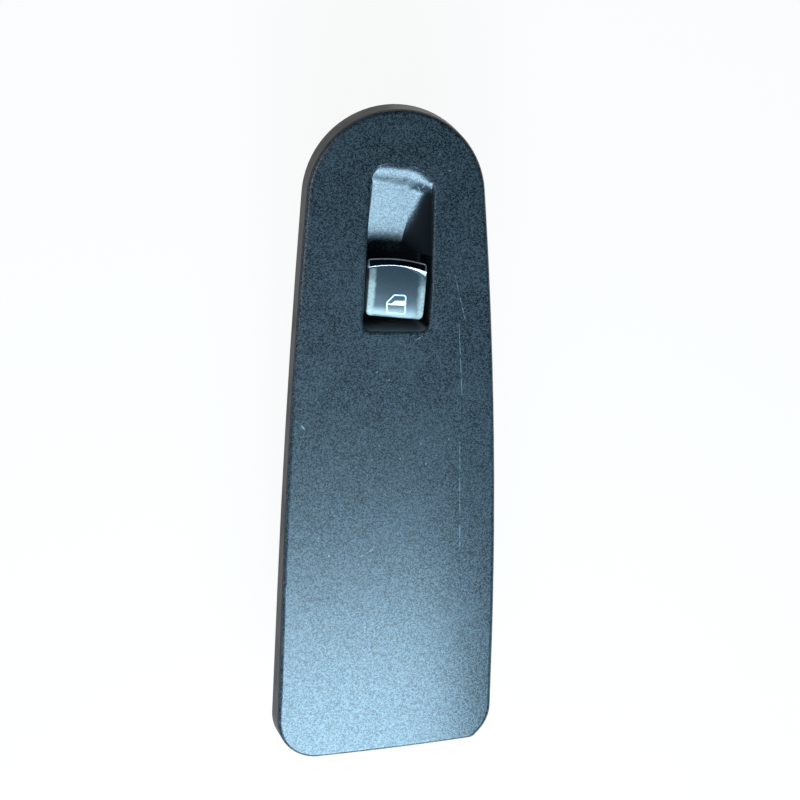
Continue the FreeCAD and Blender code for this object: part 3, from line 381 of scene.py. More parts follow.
# The dark base #17191B is painted shade; the pale #8A9094 on the wall behind the cap is painted light.
painted_shade_and_wall_light = add(tree, "Mix", {0: painted_wall_light, 6: colour("#17191B"), 7: colour("#8A9094")}, **COLOURS)
painted = add(tree, "Mix", {0: sprayed_and_unshaded, 6: painted_shade_and_wall_light, 7: tone}, **COLOURS)
grain = add(tree, "Bump", {"Height": noise(tree, GRAIN_SIZE), "Distance": GRAIN_DEPTH, "Strength": 1.0})
uncut = add(tree, "Math", (1.0, lines), **LESS)
cut = {"Height": uncut, "Distance": SCRATCH_DEPTH, "Strength": 1.0, "Normal": grain}
normal = add(tree, "Bump", cut)
rubbed = add(tree, "Math", (smudge, 0.25), **TIMES)
unmarked = add(tree, "Math", (1.0, marks), **LESS)
coat = add(tree, "MapRange", (thin, 0.0, 1.0, 0.62, 1.0), **SMOOTH)
coat = add(tree, "Math", (coat, unmarked), **TIMES)
surface(tree, output, {
    "Base Color": add(tree, "Mix", {0: marks, 6: painted, 7: colour("#A9B8BE")}, **COLOURS),
    "Roughness": add(tree, "Math", (LACQUER_ROUGHNESS, rubbed), **PLUS),
    "IOR": 1.58,
    "Specular IOR Level": 0.10,
    "Coat Weight": add(tree, "Math", (sprayed_and_unshaded, coat), **TIMES),
    "Coat IOR": 1.58,
    "Coat Roughness": COAT_ROUGHNESS,
    "Normal": normal,
    "Coat Normal": normal,
})
dress("trim_panel", lacquer)

# %% [markdown]
# ## The scoop's lip and slanted side
# The finger scoop is moulded into the panel. Its far edge is a soft lip that rolls over
# into the floor, and its right side comes down as a slanted wall. Both are added here as
# one skin that follows the opening's edge, because they run into each other in the right
# corner. It starts just inside the opening's left wall, goes along the far edge and comes
# back down the right side.

# %% Helpers for surfaces
def smooth(value, low, high):
    """Smooth step from 0 at low to 1 at high."""
    t = np.clip((value - low) / (high - low), 0, 1)
    return t * t * (3 - 2 * t)


def blend(first, second, share):
    """The first value where share is 0, the second where it is 1."""
    return first * (1 - share) + second * share


def mesh_object(name, points, faces, made, smooth_shading=True):
    """A mesh piece from an array of points in mm and a list of faces."""
    mesh = bpy.data.meshes.new(name)
    mesh.from_pydata((np.asarray(points) * MM).tolist(), [], faces)
    mesh.polygons.foreach_set("use_smooth", [smooth_shading] * len(mesh.polygons))
    mesh.materials.append(made)
    piece = bpy.data.objects.new(name, mesh)
    bpy.context.scene.collection.objects.link(piece)
    return piece


def tube(rows, columns):
    """Faces of a closed section carried along a path, with both ends shut.

    The points are numbered section by section, and the last one of a section is joined to
    its first."""
    i, j = np.meshgrid(np.arange(rows - 1), np.arange(columns), indexing="ij")
    after = (j + 1) % columns
    corners = [i * columns + j, i * columns + after, (i + 1) * columns + after, (i + 1) * columns + j]
    faces = np.stack(corners, -1).reshape(-1, 4).tolist()
    faces.append(list(range(columns))[::-1])
    faces.append([(rows - 1) * columns + k for k in range(columns)])
    return faces


def corner_arc(before, corner, after, radius, steps=25):
    """Arc of this radius that cuts a corner.

    It touches both legs where they are radius over tan of half the angle away."""
    corner = np.array(corner)
    one = (np.array(before) - corner) / np.linalg.norm(np.array(before) - corner)
    two = (np.array(after) - corner) / np.linalg.norm(np.array(after) - corner)
    half_angle = np.arccos(np.clip(one @ two, -1, 1)) / 2
    middle = (one + two) / np.linalg.norm(one + two)
    centre = corner + middle * radius / np.sin(half_angle)
    reach = radius / np.tan(half_angle)
    t = np.linspace(0, 1, steps)[:, None]
    swept = (corner + one * reach - centre) * (1 - t) + (corner + two * reach - centre) * t
    return centre + swept * radius / np.linalg.norm(swept, axis=1, keepdims=True)


# %% [markdown]
# The section at each place is a curve from the edge to the floor, with its two ends and
# its direction at both ends given. On the lip it leaves the panel's top level and lands
# on the floor a little steeper than it. On the slanted side it starts under the rim.

# %% Path along the opening's edge
FAR_LEFT = (-11.25, 77.73)   # just inside the left wall, which cuts the lip off
FAR_RIGHT = (9.2, 75.6)
RIGHT_END = (10.6, 48.1)
FAR_RIGHT_RADIUS = 9.5
SPACING = 0.3                # between sections, mm
SIDE_TURN = (38, 86)         # degrees the path has turned while the lip becomes the side
RIM_TURN = (56, 88)          # and while the skin draws back from over the rim

bend = corner_arc(FAR_LEFT, FAR_RIGHT, RIGHT_END, FAR_RIGHT_RADIUS)
edge_path = np.concatenate([[FAR_LEFT], bend, [RIGHT_END]])
travelled = np.concatenate([[0], np.cumsum(np.linalg.norm(np.diff(edge_path, axis=0), axis=1))])
stations = np.arange(0, travelled[-1], SPACING)
edge_x = np.interp(stations, travelled, edge_path[:, 0])
edge_y = np.interp(stations, travelled, edge_path[:, 1])
heading = np.unwrap(np.arctan2(np.gradient(edge_y), np.gradient(edge_x)))
inward = np.stack([np.sin(heading), -np.cos(heading)], -1)
on_side = smooth(-heading, *np.radians(SIDE_TURN))
covering = 1 - smooth(-heading, *np.radians(RIM_TURN))
print("sections along the scoop:", len(stations))

# %% Lip and slanted side
TOP_RISE = 7.5               # the panel's top at the origin, its sweep and its crown, mm
SWEEP = 2500.0
CROWN_ACROSS = 500.0
FLOOR_FAR = (77.7, 0.9)      # place and depth of the floor's two ends
FLOOR_NEAR = (47.6, 11.3)
LIP_WIDTHS = ((-11, 6.0), (-6, 6.6), (-1, 7.0), (4, 7.0), (8, 6.0))      # at each x
SIDE_WIDTHS = ((48, 8.6), (55, 7.7), (62, 6.3), (68, 4.9), (72, 4.9))    # at each y
LIP_OUT = 1.15               # the lip reaches this far out over the rim
SIDE_START = 1.2             # the slanted side starts this far under the top
LIP_LEANS = (1, 21.5)        # degrees down at the lip's outer edge and at its foot
SIDE_LEAN = 64               # degrees down where the slanted side starts
SIDE_FOOT_LEANS = ((52, 33), (66, 8))        # degrees down at its foot, at each y
LIP_HANDLES = ((-11, 3.7), (-4, 3.3))        # the curve's first handle, mm, at each x
CORNER_HANDLE = 1.7          # and in the right corner
LIP_HANDLE_SHARE = 0.30      # the other handles are shares of the way across
SIDE_HANDLE_SHARE = 0.36
ON_SECTION = 25
START_SINK = 0.02            # the skin starts this far under the top
FOOT_LIFT = 0.01             # and ends this far over the floor
HEM = 0.3                    # a hidden row runs on under the floor by this much
UNDER = 0.3                  # the hidden back lies this far inside the panel


def panel_top(x, y):
    """Height of the panel's top.

    It is the rise, plus y squared over twice the sweep, less x squared over twice the crown."""
    return TOP_RISE + y ** 2 / (2 * SWEEP) - x ** 2 / (2 * CROWN_ACROSS)


def scoop_floor(y):
    """Height of the scoop's floor: a straight line between its far and its near end."""
    far = panel_top(0, FLOOR_FAR[0]) - FLOOR_FAR[1]
    near_end = panel_top(0, FLOOR_NEAR[0]) - FLOOR_NEAR[1]
    return near_end + (y - FLOOR_NEAR[0]) * (far - near_end) / (FLOOR_FAR[0] - FLOOR_NEAR[0])


lip_width = np.interp(edge_x, *zip(*LIP_WIDTHS))
side_width = np.interp(edge_y, *zip(*SIDE_WIDTHS))
wide = blend(lip_width, side_width, on_side)
out_n = -LIP_OUT * covering
start_xy = np.stack([edge_x, edge_y], -1) + inward * out_n[:, None]
end_xy = np.stack([edge_x, edge_y], -1) + inward * wide[:, None]
start_z = panel_top(start_xy[:, 0], start_xy[:, 1]) - START_SINK - SIDE_START * (1 - covering)
end_z = scoop_floor(end_xy[:, 1]) + FOOT_LIFT
across = np.hypot(wide - out_n, start_z - end_z)
start_lean = np.radians(blend(SIDE_LEAN, LIP_LEANS[0], covering))
side_foot = np.interp(edge_y, *zip(*SIDE_FOOT_LEANS))
end_lean = np.radians(blend(LIP_LEANS[1], side_foot, on_side))
lip_handle = blend(np.interp(edge_x, *zip(*LIP_HANDLES)), CORNER_HANDLE, on_side)
first_handle = blend(SIDE_HANDLE_SHARE * across, lip_handle, covering)
last_handle = blend(LIP_HANDLE_SHARE * across, SIDE_HANDLE_SHARE * across, on_side)
guides_n = np.stack([
    out_n,
    out_n + first_handle * np.cos(start_lean),
    wide - last_handle * np.cos(end_lean),
    wide,
], -1)
guides_z = np.stack([
    start_z,
    start_z - first_handle * np.sin(start_lean),
    end_z + last_handle * np.sin(end_lean),
    end_z,
], -1)
t = np.linspace(0, 1, ON_SECTION)
weights = np.stack([(1 - t) ** 3, 3 * t * (1 - t) ** 2, 3 * t ** 2 * (1 - t), t ** 3])
back_z = blend(start_z, end_z, on_side) - UNDER
hidden_n = np.stack([wide + HEM, wide, out_n - 0.1, out_n - 0.2], -1)
hidden_z = np.stack([
    end_z - HEM * np.tan(end_lean) - 0.02,
    end_z - UNDER - 0.15,
    back_z,
    start_z - 0.05,
], -1)
section_n = np.concatenate([guides_n @ weights, hidden_n], 1)
section_z = np.concatenate([guides_z @ weights, hidden_z], 1)
skin_x = edge_x[:, None] + inward[:, :1] * section_n
skin_y = edge_y[:, None] + inward[:, 1:] * section_n
skin_points = np.stack([skin_x, skin_y, section_z], -1).reshape(-1, 3)
skin_faces = tube(len(stations), section_n.shape[1])
skin = mesh_object("scoop_skin", skin_points, skin_faces, lacquer)
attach(skin, "panel")

# %% [markdown]
# ## The rocker's cap
# The cap is sprayed like the panel but with a satin finish, and fingers have worn it.
# Along both sides and along its rear edge it turns pale, which weakens towards the lip,
# most of all on the right. The pale is partly lacquer rubbed to a haze and partly a painted
# highlight where the crowned sides and the rolled rear edge catch the light. It is a mask
# over a dark satin base: it follows the cap's own edges, and noise frays its inner border.

# %% Cap lacquer
# Each pair is the stretch over which the haze and the painted highlight fade: across a side, or along it.
HAZE_SHEEN_LEFT = (1.6 * MM, 2.7 * MM)
HAZE_SHEEN_LEFT_ALONG = (11.9 * MM, 14.7 * MM)
HAZE_SHEEN_LEFT_REST = 0.45        # share of the haze that is left near the lip
HAZE_SHEEN_RIGHT = (1.05 * MM, 3.15 * MM)
HAZE_SHEEN_RIGHT_ALONG = (8.75 * MM, 13.75 * MM)
HAZE_SHEEN_RIGHT_REST = 0.25
HAZE_SHEEN_REAR = (0.5 * MM, 7.0 * MM)
HAZE_SHEEN_REAR_TOP = 0.24
HAZE_SHEEN_FRAY = 0.9 * MM
CAP_GRAIN_SIZE = 0.35 * MM
CAP_GRAIN_DEPTH = 0.005 * MM

cap_low, cap_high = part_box("rocker_cap")
satin, tree, output = new_material("satin lacquer on the rocker")
spot = add(tree, "SeparateXYZ", (add(tree, "TexCoord").outputs["Object"],)).outputs
frayed = add(tree, "Math", (noise(tree, 1.3 * MM, 4.0), 0.5), **LESS)
frayed = add(tree, "Math", (frayed, HAZE_SHEEN_FRAY), **TIMES)
from_left = add(tree, "Math", (add(tree, "Math", (spot["X"], cap_low[0]), **LESS), frayed), **PLUS)
from_right = add(tree, "Math", (add(tree, "Math", (cap_high[0], spot["X"]), **LESS), frayed), **PLUS)
from_rear = add(tree, "Math", (add(tree, "Math", (spot["Y"], cap_low[1]), **LESS), frayed), **PLUS)
left_band = add(tree, "MapRange", (from_left, *HAZE_SHEEN_LEFT, 1.0, 0.0), **SMOOTH)
left_along = add(tree, "MapRange", (from_rear, *HAZE_SHEEN_LEFT_ALONG, 1.0, HAZE_SHEEN_LEFT_REST), **SMOOTH)
left_band = add(tree, "Math", (left_band, left_along), **TIMES)
right_band = add(tree, "MapRange", (from_right, *HAZE_SHEEN_RIGHT, 1.0, 0.0), **SMOOTH)
right_along = add(tree, "MapRange", (from_rear, *HAZE_SHEEN_RIGHT_ALONG, 1.0, HAZE_SHEEN_RIGHT_REST), **SMOOTH)
right_band = add(tree, "Math", (right_band, right_along), **TIMES)
rear_band = add(tree, "MapRange", (from_rear, *HAZE_SHEEN_REAR, HAZE_SHEEN_REAR_TOP, 0.0), **SMOOTH)
# Here rubbed holds the worn haze and the painted highlight together.
rubbed = strongest(tree, [left_band, right_band, rear_band])
mottled = add(tree, "MapRange", (noise(tree, 0.8 * MM, 4.0), 0.30, 0.65, 0.65, 1.0), **SMOOTH)
haze_and_sheen = add(tree, "Math", (rubbed, mottled), **TIMES)
pale = add(tree, "Math", (haze_and_sheen, 0.9), **TIMES)
cap_grain = noise(tree, CAP_GRAIN_SIZE)
grain_tone = add(tree, "MapRange", (cap_grain, 0.3, 0.7), **SMOOTH)
cap_tone = add(tree, "Mix", {0: grain_tone, 6: colour("#1A2228"), 7: colour("#26343D")}, **COLOURS)
# The pale #B6B9B0 is partly worn haze and partly painted highlight.
surface(tree, output, {
    "Base Color": add(tree, "Mix", {0: pale, 6: cap_tone, 7: colour("#B6B9B0")}, **COLOURS),
    "Roughness": add(tree, "MapRange", (haze_and_sheen, 0.0, 1.0, 0.34, 0.60), **SMOOTH),
    "IOR": 1.5,
    "Coat Weight": add(tree, "MapRange", (haze_and_sheen, 0.0, 0.6, 0.8, 0.3), **SMOOTH),
    "Coat Roughness": 0.25,
    "Normal": add(tree, "Bump", {"Height": cap_grain, "Distance": CAP_GRAIN_DEPTH, "Strength": 1.0}),
})
dress("rocker_cap", satin)

# %% [markdown]
# ## The bright strip on the lip
# The strip is plated plastic. Its slanted face is a shallow trough with a thin edge all
# round it. The trough is a near-black metal, a painted reflection of the dark scoop that it
# faces. The edge is near white and hardly metallic, a painted highlight. The upper edge
# is a narrow facet that leans back towards the window and grows wider to the right, so it
# shines as one white line. Behind the facet a low shelf closes the gap to the cap and looks
# like the cap. The strip follows the arc of the cap's front edge. It is made as one grid:
# its length runs along the arc, and its other direction runs round the section.

# %% Arcs of the strip and of the cap's lip
strip_low, strip_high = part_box("lip_strip")
ARC_LEFT = (-9.7, 44.4)      # the strip's upper edge is the arc through these three, mm
ARC_TOP = (-3.8, 45.05)
ARC_RIGHT = (9.4, 42.8)
LIP_LEFT = (-9.7, 44.1)      # the cap's own lip, which falls back further on both sides
LIP_TOP = (-3.8, 45.1)
LIP_RIGHT = (9.4, 41.3)


def circle_through(*places):
    """Centre and radius of the circle through three plan points: the centre is as far from all."""
    a, b, c = np.array(places)
    centre = np.linalg.solve(2 * np.array([b - a, c - a]), np.array([b @ b - a @ a, c @ c - a @ a]))
    return centre, float(np.hypot(*(centre - a)))


arc_centre, arc_radius = circle_through(ARC_LEFT, ARC_TOP, ARC_RIGHT)
lip_centre, lip_radius = circle_through(LIP_LEFT, LIP_TOP, LIP_RIGHT)
print("front arc radius, mm:", round(arc_radius, 2))

# %% Plate
# The mesh carries a value called edge: 1 on the edge with the painted highlight, 0 in the
# trough with the painted dark reflection and -1 on the shelf.
chrome, tree, output = new_material("chrome plate with painted reflection")
edge = add(tree, "Attribute", attribute_name="edge", attribute_type="GEOMETRY").outputs["Fac"]
worn = add(tree, "MapRange", (noise(tree, 0.7 * MM, 3.0), 0.35, 0.7), **SMOOTH)
plated = add(tree, "MapRange", (edge, -1.0, 0.0), **SMOOTH)
painted_highlight = add(tree, "MapRange", (edge, 0.0, 1.0), **SMOOTH)
shelf_and_dark_trough = add(tree, "Mix", {0: plated, 6: colour("#3C4950"), 7: colour("#3A4045")}, **COLOURS)
# On the edge the plate is near white and only 0.15 metallic, which is a painted highlight. In the trough
# it is near-black metal, which is a painted reflection of the dark scoop.
metallic = add(tree, "MapRange", (edge, 0.0, 1.0, 1.0, 0.15), **SMOOTH)
surface(tree, output, {
    "Base Color": add(tree, "Mix", {0: painted_highlight, 6: shelf_and_dark_trough, 7: colour("#FBF5F2")}, **COLOURS),
    "Metallic": add(tree, "Math", (plated, metallic), **TIMES),
    "Roughness": add(tree, "MapRange", (worn, 0.0, 1.0, 0.20, 0.32), **SMOOTH),
    "Coat Weight": add(tree, "MapRange", (plated, 0.0, 1.0, 0.95, 0.0), **SMOOTH),
    "Coat Roughness": 0.25,
})

# %% [markdown]
# The section is a closed loop in two directions, outwards along the arc's radius and up.
# It starts on the cap side of the upper facet, goes over the crest, down the trough and
# round the lower edge, and comes back through the hidden foot. Towards both ends the
# trough fades into a raised end, so the bright edge with its painted highlight closes
# round it. Each section lies in a plane of its own x, so both ends are flat and in line
# with the cap's sides.

# %% Section of the strip
CREST_Z = 6.75               # top of the cap's lip, mm
# The raised edge is the one that carries the painted highlight.
CREST_LIFT = 0.22            # of the polished edge above the cap
FACET_LEAN = np.radians(17)
FACET_WIDE = 0.72            # width of the upper facet at its right end
FACET_NARROW = 0.12
END_LEAN = 0.23              # the right end leans in towards the top
FACE_REACH = 1.9             # how far the slanted face comes out, and how far it goes down
FACE_DROP = 2.4
EDGE_FADE = (0.18, 0.42)     # the trough deepens over this stretch from its long borders
END_FADE = (0.25, 0.60)      # and over this one from its ends
TROUGH_DEPTH = 0.22
CORNER_REACH = 0.7           # the lower corners are rounded over this length
CORNER_LOSS = 0.3
REACH_MIDDLE = 0.88          # the face comes out a little less in the middle than at the ends
REACH_ENDS = 1.14
SHELF_LAP = 0.15             # the shelf reaches this far in under the cap's lip
SHELF_SINK = 0.005
ALONG = 181
ON_FACE = 41
ON_FACET = 6

share = np.linspace(0, 1, ALONG)
strip_x = (strip_low[0] + (strip_high[0] - strip_low[0]) * share) / MM
to_end = np.minimum(strip_x - strip_x[0], strip_x[-1] - strip_x)

face_length = float(np.hypot(FACE_REACH, FACE_DROP))
down = np.array([FACE_REACH, -FACE_DROP]) / face_length
outward = np.array([FACE_DROP, FACE_REACH]) / face_length
on_face = np.linspace(0, face_length, ON_FACE)
to_border = np.minimum(on_face, face_length - on_face)
hollow = smooth(to_border, *EDGE_FADE)[None, :] * smooth(to_end, *END_FADE)[:, None]
face_r = on_face * down[0] - TROUGH_DEPTH * hollow * outward[0]
face_z = CREST_Z + CREST_LIFT + on_face * down[1] - TROUGH_DEPTH * hollow * outward[1]

rounding = 1 - CORNER_LOSS * (1 - np.sqrt(1 - (1 - np.clip(to_end / CORNER_REACH, 0, 1)) ** 2))
bow = REACH_MIDDLE + (REACH_ENDS - REACH_MIDDLE) * (2 * share - 1) ** 2
face_r = face_r * (rounding * bow)[:, None]

facet = FACET_NARROW + (FACET_WIDE - FACET_NARROW) * smooth(share, 0.5, 1.0)
steps = np.linspace(1, 0.06, ON_FACET)[None, :] * facet[:, None]
arc_y = arc_centre[1] + np.sqrt(arc_radius ** 2 - (strip_x - arc_centre[0]) ** 2)
lip_y = lip_centre[1] + np.sqrt(lip_radius ** 2 - (strip_x - lip_centre[0]) ** 2)
shelf = np.maximum(arc_y - lip_y, 0) + facet + SHELF_LAP
shelf_r = np.stack([-shelf, -facet - 0.02], 1)
shelf_z = np.full((ALONG, 2), CREST_Z - SHELF_SINK)
facet_r = np.concatenate([shelf_r, -steps], 1)
facet_z = np.concatenate([shelf_z, CREST_Z + CREST_LIFT - steps * np.tan(FACET_LEAN)], 1)
foot_z = CREST_Z + CREST_LIFT - FACE_DROP
foot = np.array([
    (FACE_REACH - 0.12, foot_z - 0.16),
    (FACE_REACH - 0.45, foot_z - 0.35),
    (0.0, foot_z - 0.6),
    (-0.42, foot_z - 0.4),
    (-0.42, CREST_Z - 0.45),
])
ring_r = np.concatenate([facet_r, face_r, np.repeat(foot[None, :, 0], ALONG, 0)], 1)
ring_z = np.concatenate([facet_z, face_z, np.repeat(foot[None, :, 1], ALONG, 0)], 1)
ring_x = strip_x[:, None] - END_LEAN * np.clip(ring_z - foot_z, 0, None) * smooth(share, 0.4, 1.0)[:, None]
ring_y = arc_centre[1] + np.sqrt((arc_radius + ring_r) ** 2 - (ring_x - arc_centre[0]) ** 2)
strip_points = np.stack([ring_x, ring_y, ring_z], -1)
columns = ring_r.shape[1]
strip = mesh_object("bright_strip", strip_points.reshape(-1, 3), tube(ALONG, columns), chrome)
edge_highlight = np.ones((ALONG, columns))
edge_highlight[:, :2] = -1.0
edge_highlight[:, facet_r.shape[1]:facet_r.shape[1] + ON_FACE] = 1 - hollow
strip.data.attributes.new("edge", "FLOAT", "POINT").data.foreach_set("value", edge_highlight.ravel())
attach(strip, "rocker")
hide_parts("lip_strip")
print("strip points:", len(strip.data.vertices))

# %% [markdown]
# ## The symbol
# The window symbol is laser-cut through the lacquer down to white plastic: a door's
# outline with its glass half lowered. Its white is also given a faint glow of its own,
# which is painted light. It is drawn as very thin raised strokes that lie on
# the cap. The cap's top is a known form: it falls from the lip to the heel, a little more
# towards its sides, and rolls off at its rear edge. The same form gives the height of
# every point of the strokes.

# %% Height of the cap's top
HEEL_Z = 5.15
CROWN = 0.5                  # fall of the sides, mm
HEEL_REACH = 2.2             # the rear edge rolls off over this length, by this much
HEEL_DROP = 0.6
REAR_LEFT_Y = 27.9
REAR_RIGHT_Y = 26.5
SYMBOL_LIFT = 0.035


def cap_top(x, y):
    """Height of the cap: crest less (crest - heel) times back squared, less crown and roll.

    back is the share of the way from the lip to the rear edge. The crown grows with the
    fourth power of the distance from the middle and fades in towards the rear."""
    across_cap = (x - ARC_LEFT[0]) / (ARC_RIGHT[0] - ARC_LEFT[0])
    rear = REAR_LEFT_Y + (REAR_RIGHT_Y - REAR_LEFT_Y) * across_cap
    front = lip_centre[1] + np.sqrt(lip_radius ** 2 - (x - lip_centre[0]) ** 2)
    back = (front - y) / (front - rear)
    crown = CROWN * (2 * across_cap - 1) ** 4 * (1 - (1 - back) ** 2)
    roll = np.clip((rear + HEEL_REACH - y) / HEEL_REACH, 0, None)
    return CREST_Z - (CREST_Z - HEEL_Z) * back ** 2 - crown - HEEL_DROP * roll ** 2


cap_points = np.empty(len(nodes["rocker_cap"].data.vertices) * 3)
nodes["rocker_cap"].data.vertices.foreach_get("co", cap_points)
cap_x, cap_y, cap_z = (cap_points / MM).reshape(-1, 3).T
near = (np.abs(cap_x) < 5) & (cap_y > 28.5) & (cap_y < 38) & (cap_z > 4.3)
miss = cap_z[near] - cap_top(cap_x[near], cap_y[near])
print("cap points compared:", int(near.sum()))
print("difference, mm:", round(float(miss.min()), 3), round(float(miss.max()), 3))


def on_cap(points, lift):
    """The plan points with their height on the cap's top."""
    return np.column_stack([points, cap_top(points[:, 0], points[:, 1]) + lift])


# %% [markdown]
# A stroke is its path moved to the left and to the right by half its width. The path's
# corners are rounded by arcs first, so both edges stay smooth.

# %% Strokes and glass
STROKE = 0.40
OUTLINE = ((-2.98, 28.95), (-3.20, 32.55), (-1.00, 35.05), (2.84, 34.95), (3.13, 28.65))
OUTLINE_RADII = (0.7, 0.35, 0.35, 0.75, 0.7)
BELT = ((-3.15, 32.00), (2.98, 31.65))
BELT_POINTS = 9
BELT_LIFT = 0.004            # the belt lies over the outline, and the glass over both, mm
GLASS = ((-2.00, 31.9), (-0.60, 33.15), (2.90, 33.10))
GLASS_FOOT_Y = 31.65
GLASS_POINTS = 19
GLASS_LIFT = 0.008


def rounded_path(corners, radii, steps=9):
    """A closed path through the corners, each cut by an arc of its radius."""
    corners = np.array(corners)
    before = np.roll(corners, 1, 0) - corners
    after = np.roll(corners, -1, 0) - corners
    before /= np.linalg.norm(before, axis=1, keepdims=True)
    after /= np.linalg.norm(after, axis=1, keepdims=True)
    half_angle = np.arccos(np.clip((before * after).sum(1), -1, 1)) / 2
    reach = np.array(radii) / np.tan(half_angle)
    middle = before + after
    middle /= np.linalg.norm(middle, axis=1, keepdims=True)
    centre = corners + middle * (np.array(radii) / np.sin(half_angle))[:, None]
    start = corners + before * reach[:, None] - centre
    end = corners + after * reach[:, None] - centre
    t = np.linspace(0, 1, steps)[None, :, None]
    swept = start[:, None] * (1 - t) + end[:, None] * t
    swept *= np.array(radii)[:, None, None] / np.linalg.norm(swept, axis=2, keepdims=True)
    return (centre[:, None] + swept).reshape(-1, 2)


def stroke_mesh(path, width, closed):
    """Points and faces of a flat ribbon of this width along a path."""
    if closed:
        along_path = np.roll(path, -1, 0) - np.roll(path, 1, 0)
    else:
        along_path = np.gradient(path, axis=0)
    along_path /= np.linalg.norm(along_path, axis=1, keepdims=True)
    side = np.stack([-along_path[:, 1], along_path[:, 0]], -1) * width / 2
    points = np.stack([path + side, path - side], 1).reshape(-1, 2)
    count = len(path)
    i = np.arange(count if closed else count - 1)
    n = (i + 1) % count
    return points, np.stack([2 * i, 2 * i + 1, 2 * n + 1, 2 * n], -1)


etched_with_painted_glow, tree, output = new_material("white plastic of the symbol with painted glow")
clouds = add(tree, "MapRange", (noise(tree, 0.4 * MM), 0.3, 0.7), **SMOOTH)
surface(tree, output, {
    "Base Color": add(tree, "Mix", {0: clouds, 6: colour("#D6EEF5"), 7: colour("#F2FBFD")}, **COLOURS),
    "Roughness": 0.5,
    # The emission is a painted glow: the lamp under the symbol is not lit.
    "Emission Color": colour("#DCFBFF"),
    "Emission Strength": 0.35,
})

door_path = rounded_path(OUTLINE, OUTLINE_RADII)
t = np.linspace(0, 1, BELT_POINTS)[:, None]
belt_path = blend(np.array(BELT[0]), np.array(BELT[1]), t)
glass_x = np.linspace(GLASS[0][0], GLASS[-1][0], GLASS_POINTS)
glass_top = np.interp(glass_x, *zip(*GLASS))
glass_y = np.stack([np.full(GLASS_POINTS, GLASS_FOOT_Y), glass_top], 1).ravel()
glass_points = np.stack([np.repeat(glass_x, 2), glass_y], -1)
i = np.arange(GLASS_POINTS - 1)
glass_faces = np.stack([2 * i, 2 * i + 2, 2 * i + 3, 2 * i + 1], -1)

shapes = (
    (*stroke_mesh(door_path, STROKE, True), 0.0),
    (*stroke_mesh(belt_path, STROKE, False), BELT_LIFT),
    (glass_points, glass_faces, GLASS_LIFT),
)
symbol_points = []
symbol_faces = []
for points, faces, lift in shapes:
    symbol_faces += (faces + sum(len(part) for part in symbol_points)).tolist()
    symbol_points.append(on_cap(points, SYMBOL_LIFT + lift))
symbol = mesh_object("window_symbol", np.concatenate(symbol_points), symbol_faces, etched_with_painted_glow, False)
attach(symbol, "rocker")

# %% [markdown]
# ## Moulded plastics below the panel
# The housing is glass-filled PBT, spark-eroded to a dull grain, and the cover is a
# slightly lighter nylon. Both are near black. What tells them apart in the hand is the
# roughness, so the recipe is the same with other numbers.

# %% Moulded plastics
def moulded(name, dark, light, roughness, size, depth):
    """An opaque moulded plastic: two close tones and an eroded grain of this size."""
    made, tree, output = new_material(name)
    lumps = noise(tree, size, 3.0)
    clouds = add(tree, "MapRange", (noise(tree, 9 * MM, 3.0), 0.3, 0.7), **SMOOTH)
    dull = (lumps, 0.3, 0.7, roughness - 0.05, roughness + 0.06)
    surface(tree, output, {
        "Base Color": add(tree, "Mix", {0: clouds, 6: colour(dark), 7: colour(light)}, **COLOURS),
        "Roughness": add(tree, "MapRange", dull, **SMOOTH),
        "IOR": 1.5,
        "Normal": add(tree, "Bump", {"Height": lumps, "Distance": depth, "Strength": 1.0}),
    })
    return made


dress("switch_housing", moulded("spark-eroded PBT", "#1B1C1D", "#232425", 0.50, 0.3 * MM, 0.010 * MM))
nylon = moulded("glass-filled nylon", "#242527", "#2E3032", 0.42, 0.4 * MM, 0.008 * MM)
dress("base_cover", nylon)
dress("terminal_header", nylon)
acetal = moulded("natural acetal", "#D9DAD2", "#E8E9E2", 0.32, 0.6 * MM, 0.002 * MM)
dress("plunger_rear", acetal)
dress("plunger_front", acetal)
dress("dome_mat", moulded("silicone rubber", "#8D9490", "#A2A8A4", 0.62, 0.5 * MM, 0.006 * MM))
dress("contact_pills", moulded("carbon-filled rubber", "#141414", "#1F1F20", 0.55, 0.2 * MM, 0.004 * MM))
dress("resistors", moulded("glazed ceramic", "#16181A", "#202327", 0.22, 0.5 * MM, 0.001 * MM))
dress("symbol_led", moulded("white lamp body", "#E9E7D8", "#F4F2E4", 0.30, 0.4 * MM, 0.001 * MM))

# %% [markdown]
# ## Board, clear parts and metals
# The board's green is solder resist over woven glass, and the weave shows faintly through
# it. The lens and the light guide are polished acrylic. The clips are spring steel with a
# black oxide that is rubbed bright at the bends; the pins are tinned brass.

# %% Board
WEAVE = 0.9 * MM             # real glass cloth is about half as coarse
TURN = 6.2832                # radians

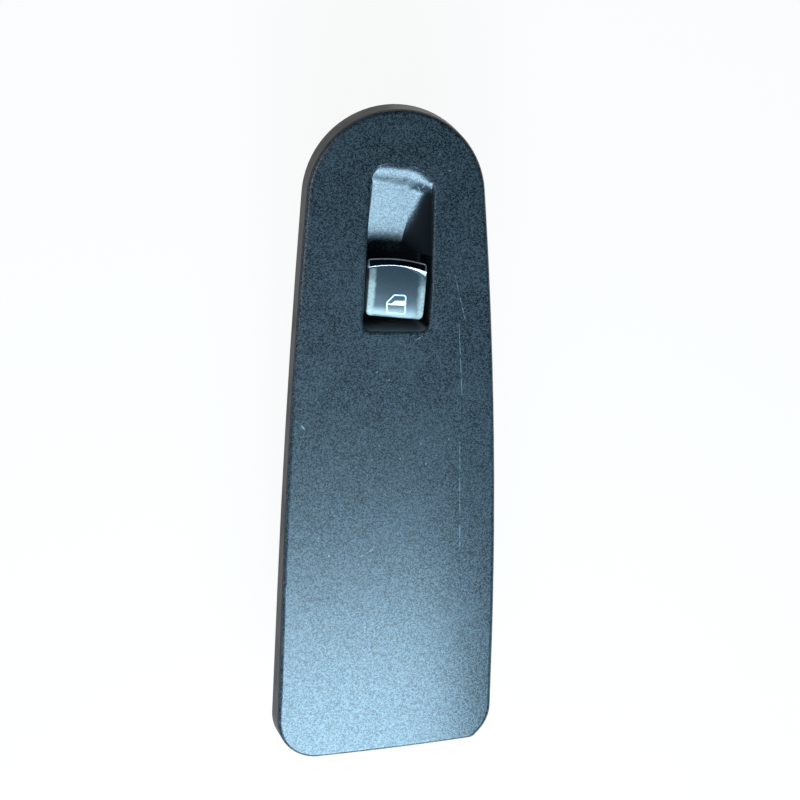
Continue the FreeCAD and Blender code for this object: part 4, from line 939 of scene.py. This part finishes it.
resist, tree, output = new_material("green solder resist")
spot = add(tree, "SeparateXYZ", (add(tree, "TexCoord").outputs["Object"],)).outputs
warp = add(tree, "Math", (add(tree, "Math", (spot["X"], TURN / WEAVE), **TIMES),), operation="SINE")
weft = add(tree, "Math", (add(tree, "Math", (spot["Y"], TURN / WEAVE), **TIMES),), operation="SINE")
cloth = add(tree, "MapRange", (add(tree, "Math", (warp, weft), **TIMES), -1.0, 1.0), **SMOOTH)
surface(tree, output, {
    "Base Color": add(tree, "Mix", {0: cloth, 6: colour("#0F4A24"), 7: colour("#17602F")}, **COLOURS),
    "Roughness": 0.28,
    "IOR": 1.55,
    "Normal": add(tree, "Bump", {"Height": cloth, "Distance": 0.003 * MM, "Strength": 1.0}),
})
dress("circuit_board", resist)

# %% Clear parts
acrylic, tree, output = new_material("clear acrylic")
surface(tree, output, {
    "Base Color": colour("#F2F7F8"),
    "Roughness": add(tree, "MapRange", (noise(tree, 2 * MM), 0.3, 0.7, 0.03, 0.09), **SMOOTH),
    "IOR": 1.49,
    "Transmission Weight": 1.0,
})
dress("symbol_lens", acrylic)
dress("light_guide", acrylic)


# %% Metals
def metal(name, tone, worn, roughness, size, depth, stretch=(1, 1, 1)):
    """A metal with a second, worn tone in patches and a fine relief."""
    made, tree, output = new_material(name)
    lumps = noise(tree, size, 3.0, stretch)
    patches = add(tree, "MapRange", (noise(tree, 2.5 * MM, 3.0), 0.52, 0.72), **SMOOTH)
    dull = (lumps, 0.3, 0.7, roughness - 0.06, roughness + 0.10)
    surface(tree, output, {
        "Base Color": add(tree, "Mix", {0: patches, 6: colour(tone), 7: colour(worn)}, **COLOURS),
        "Metallic": 1.0,
        "Roughness": add(tree, "MapRange", dull, **SMOOTH),
        "Normal": add(tree, "Bump", {"Height": lumps, "Distance": depth, "Strength": 1.0}),
    })
    return made


steel = metal("blackened spring steel", "#3A3836", "#6E6C69", 0.38, 0.3 * MM, 0.004 * MM, (8, 1, 1))
dress("retaining_clips", steel)
dress("terminal_pins", metal("tinned brass", "#C9C6BE", "#D8D4C6", 0.24, 0.3 * MM, 0.002 * MM, (1, 1, 6)))
dress("board_screws", metal("zinc-plated steel", "#B9BBBC", "#CFCDBF", 0.28, 0.3 * MM, 0.003 * MM))
dress("contact_pads", metal("gold plate", "#E2B64E", "#EBC76B", 0.22, 0.3 * MM, 0.001 * MM))
dress("capacitor", metal("drawn aluminium", "#C4C7CA", "#D2D4D6", 0.30, 0.25 * MM, 0.002 * MM, (1, 1, 8)))
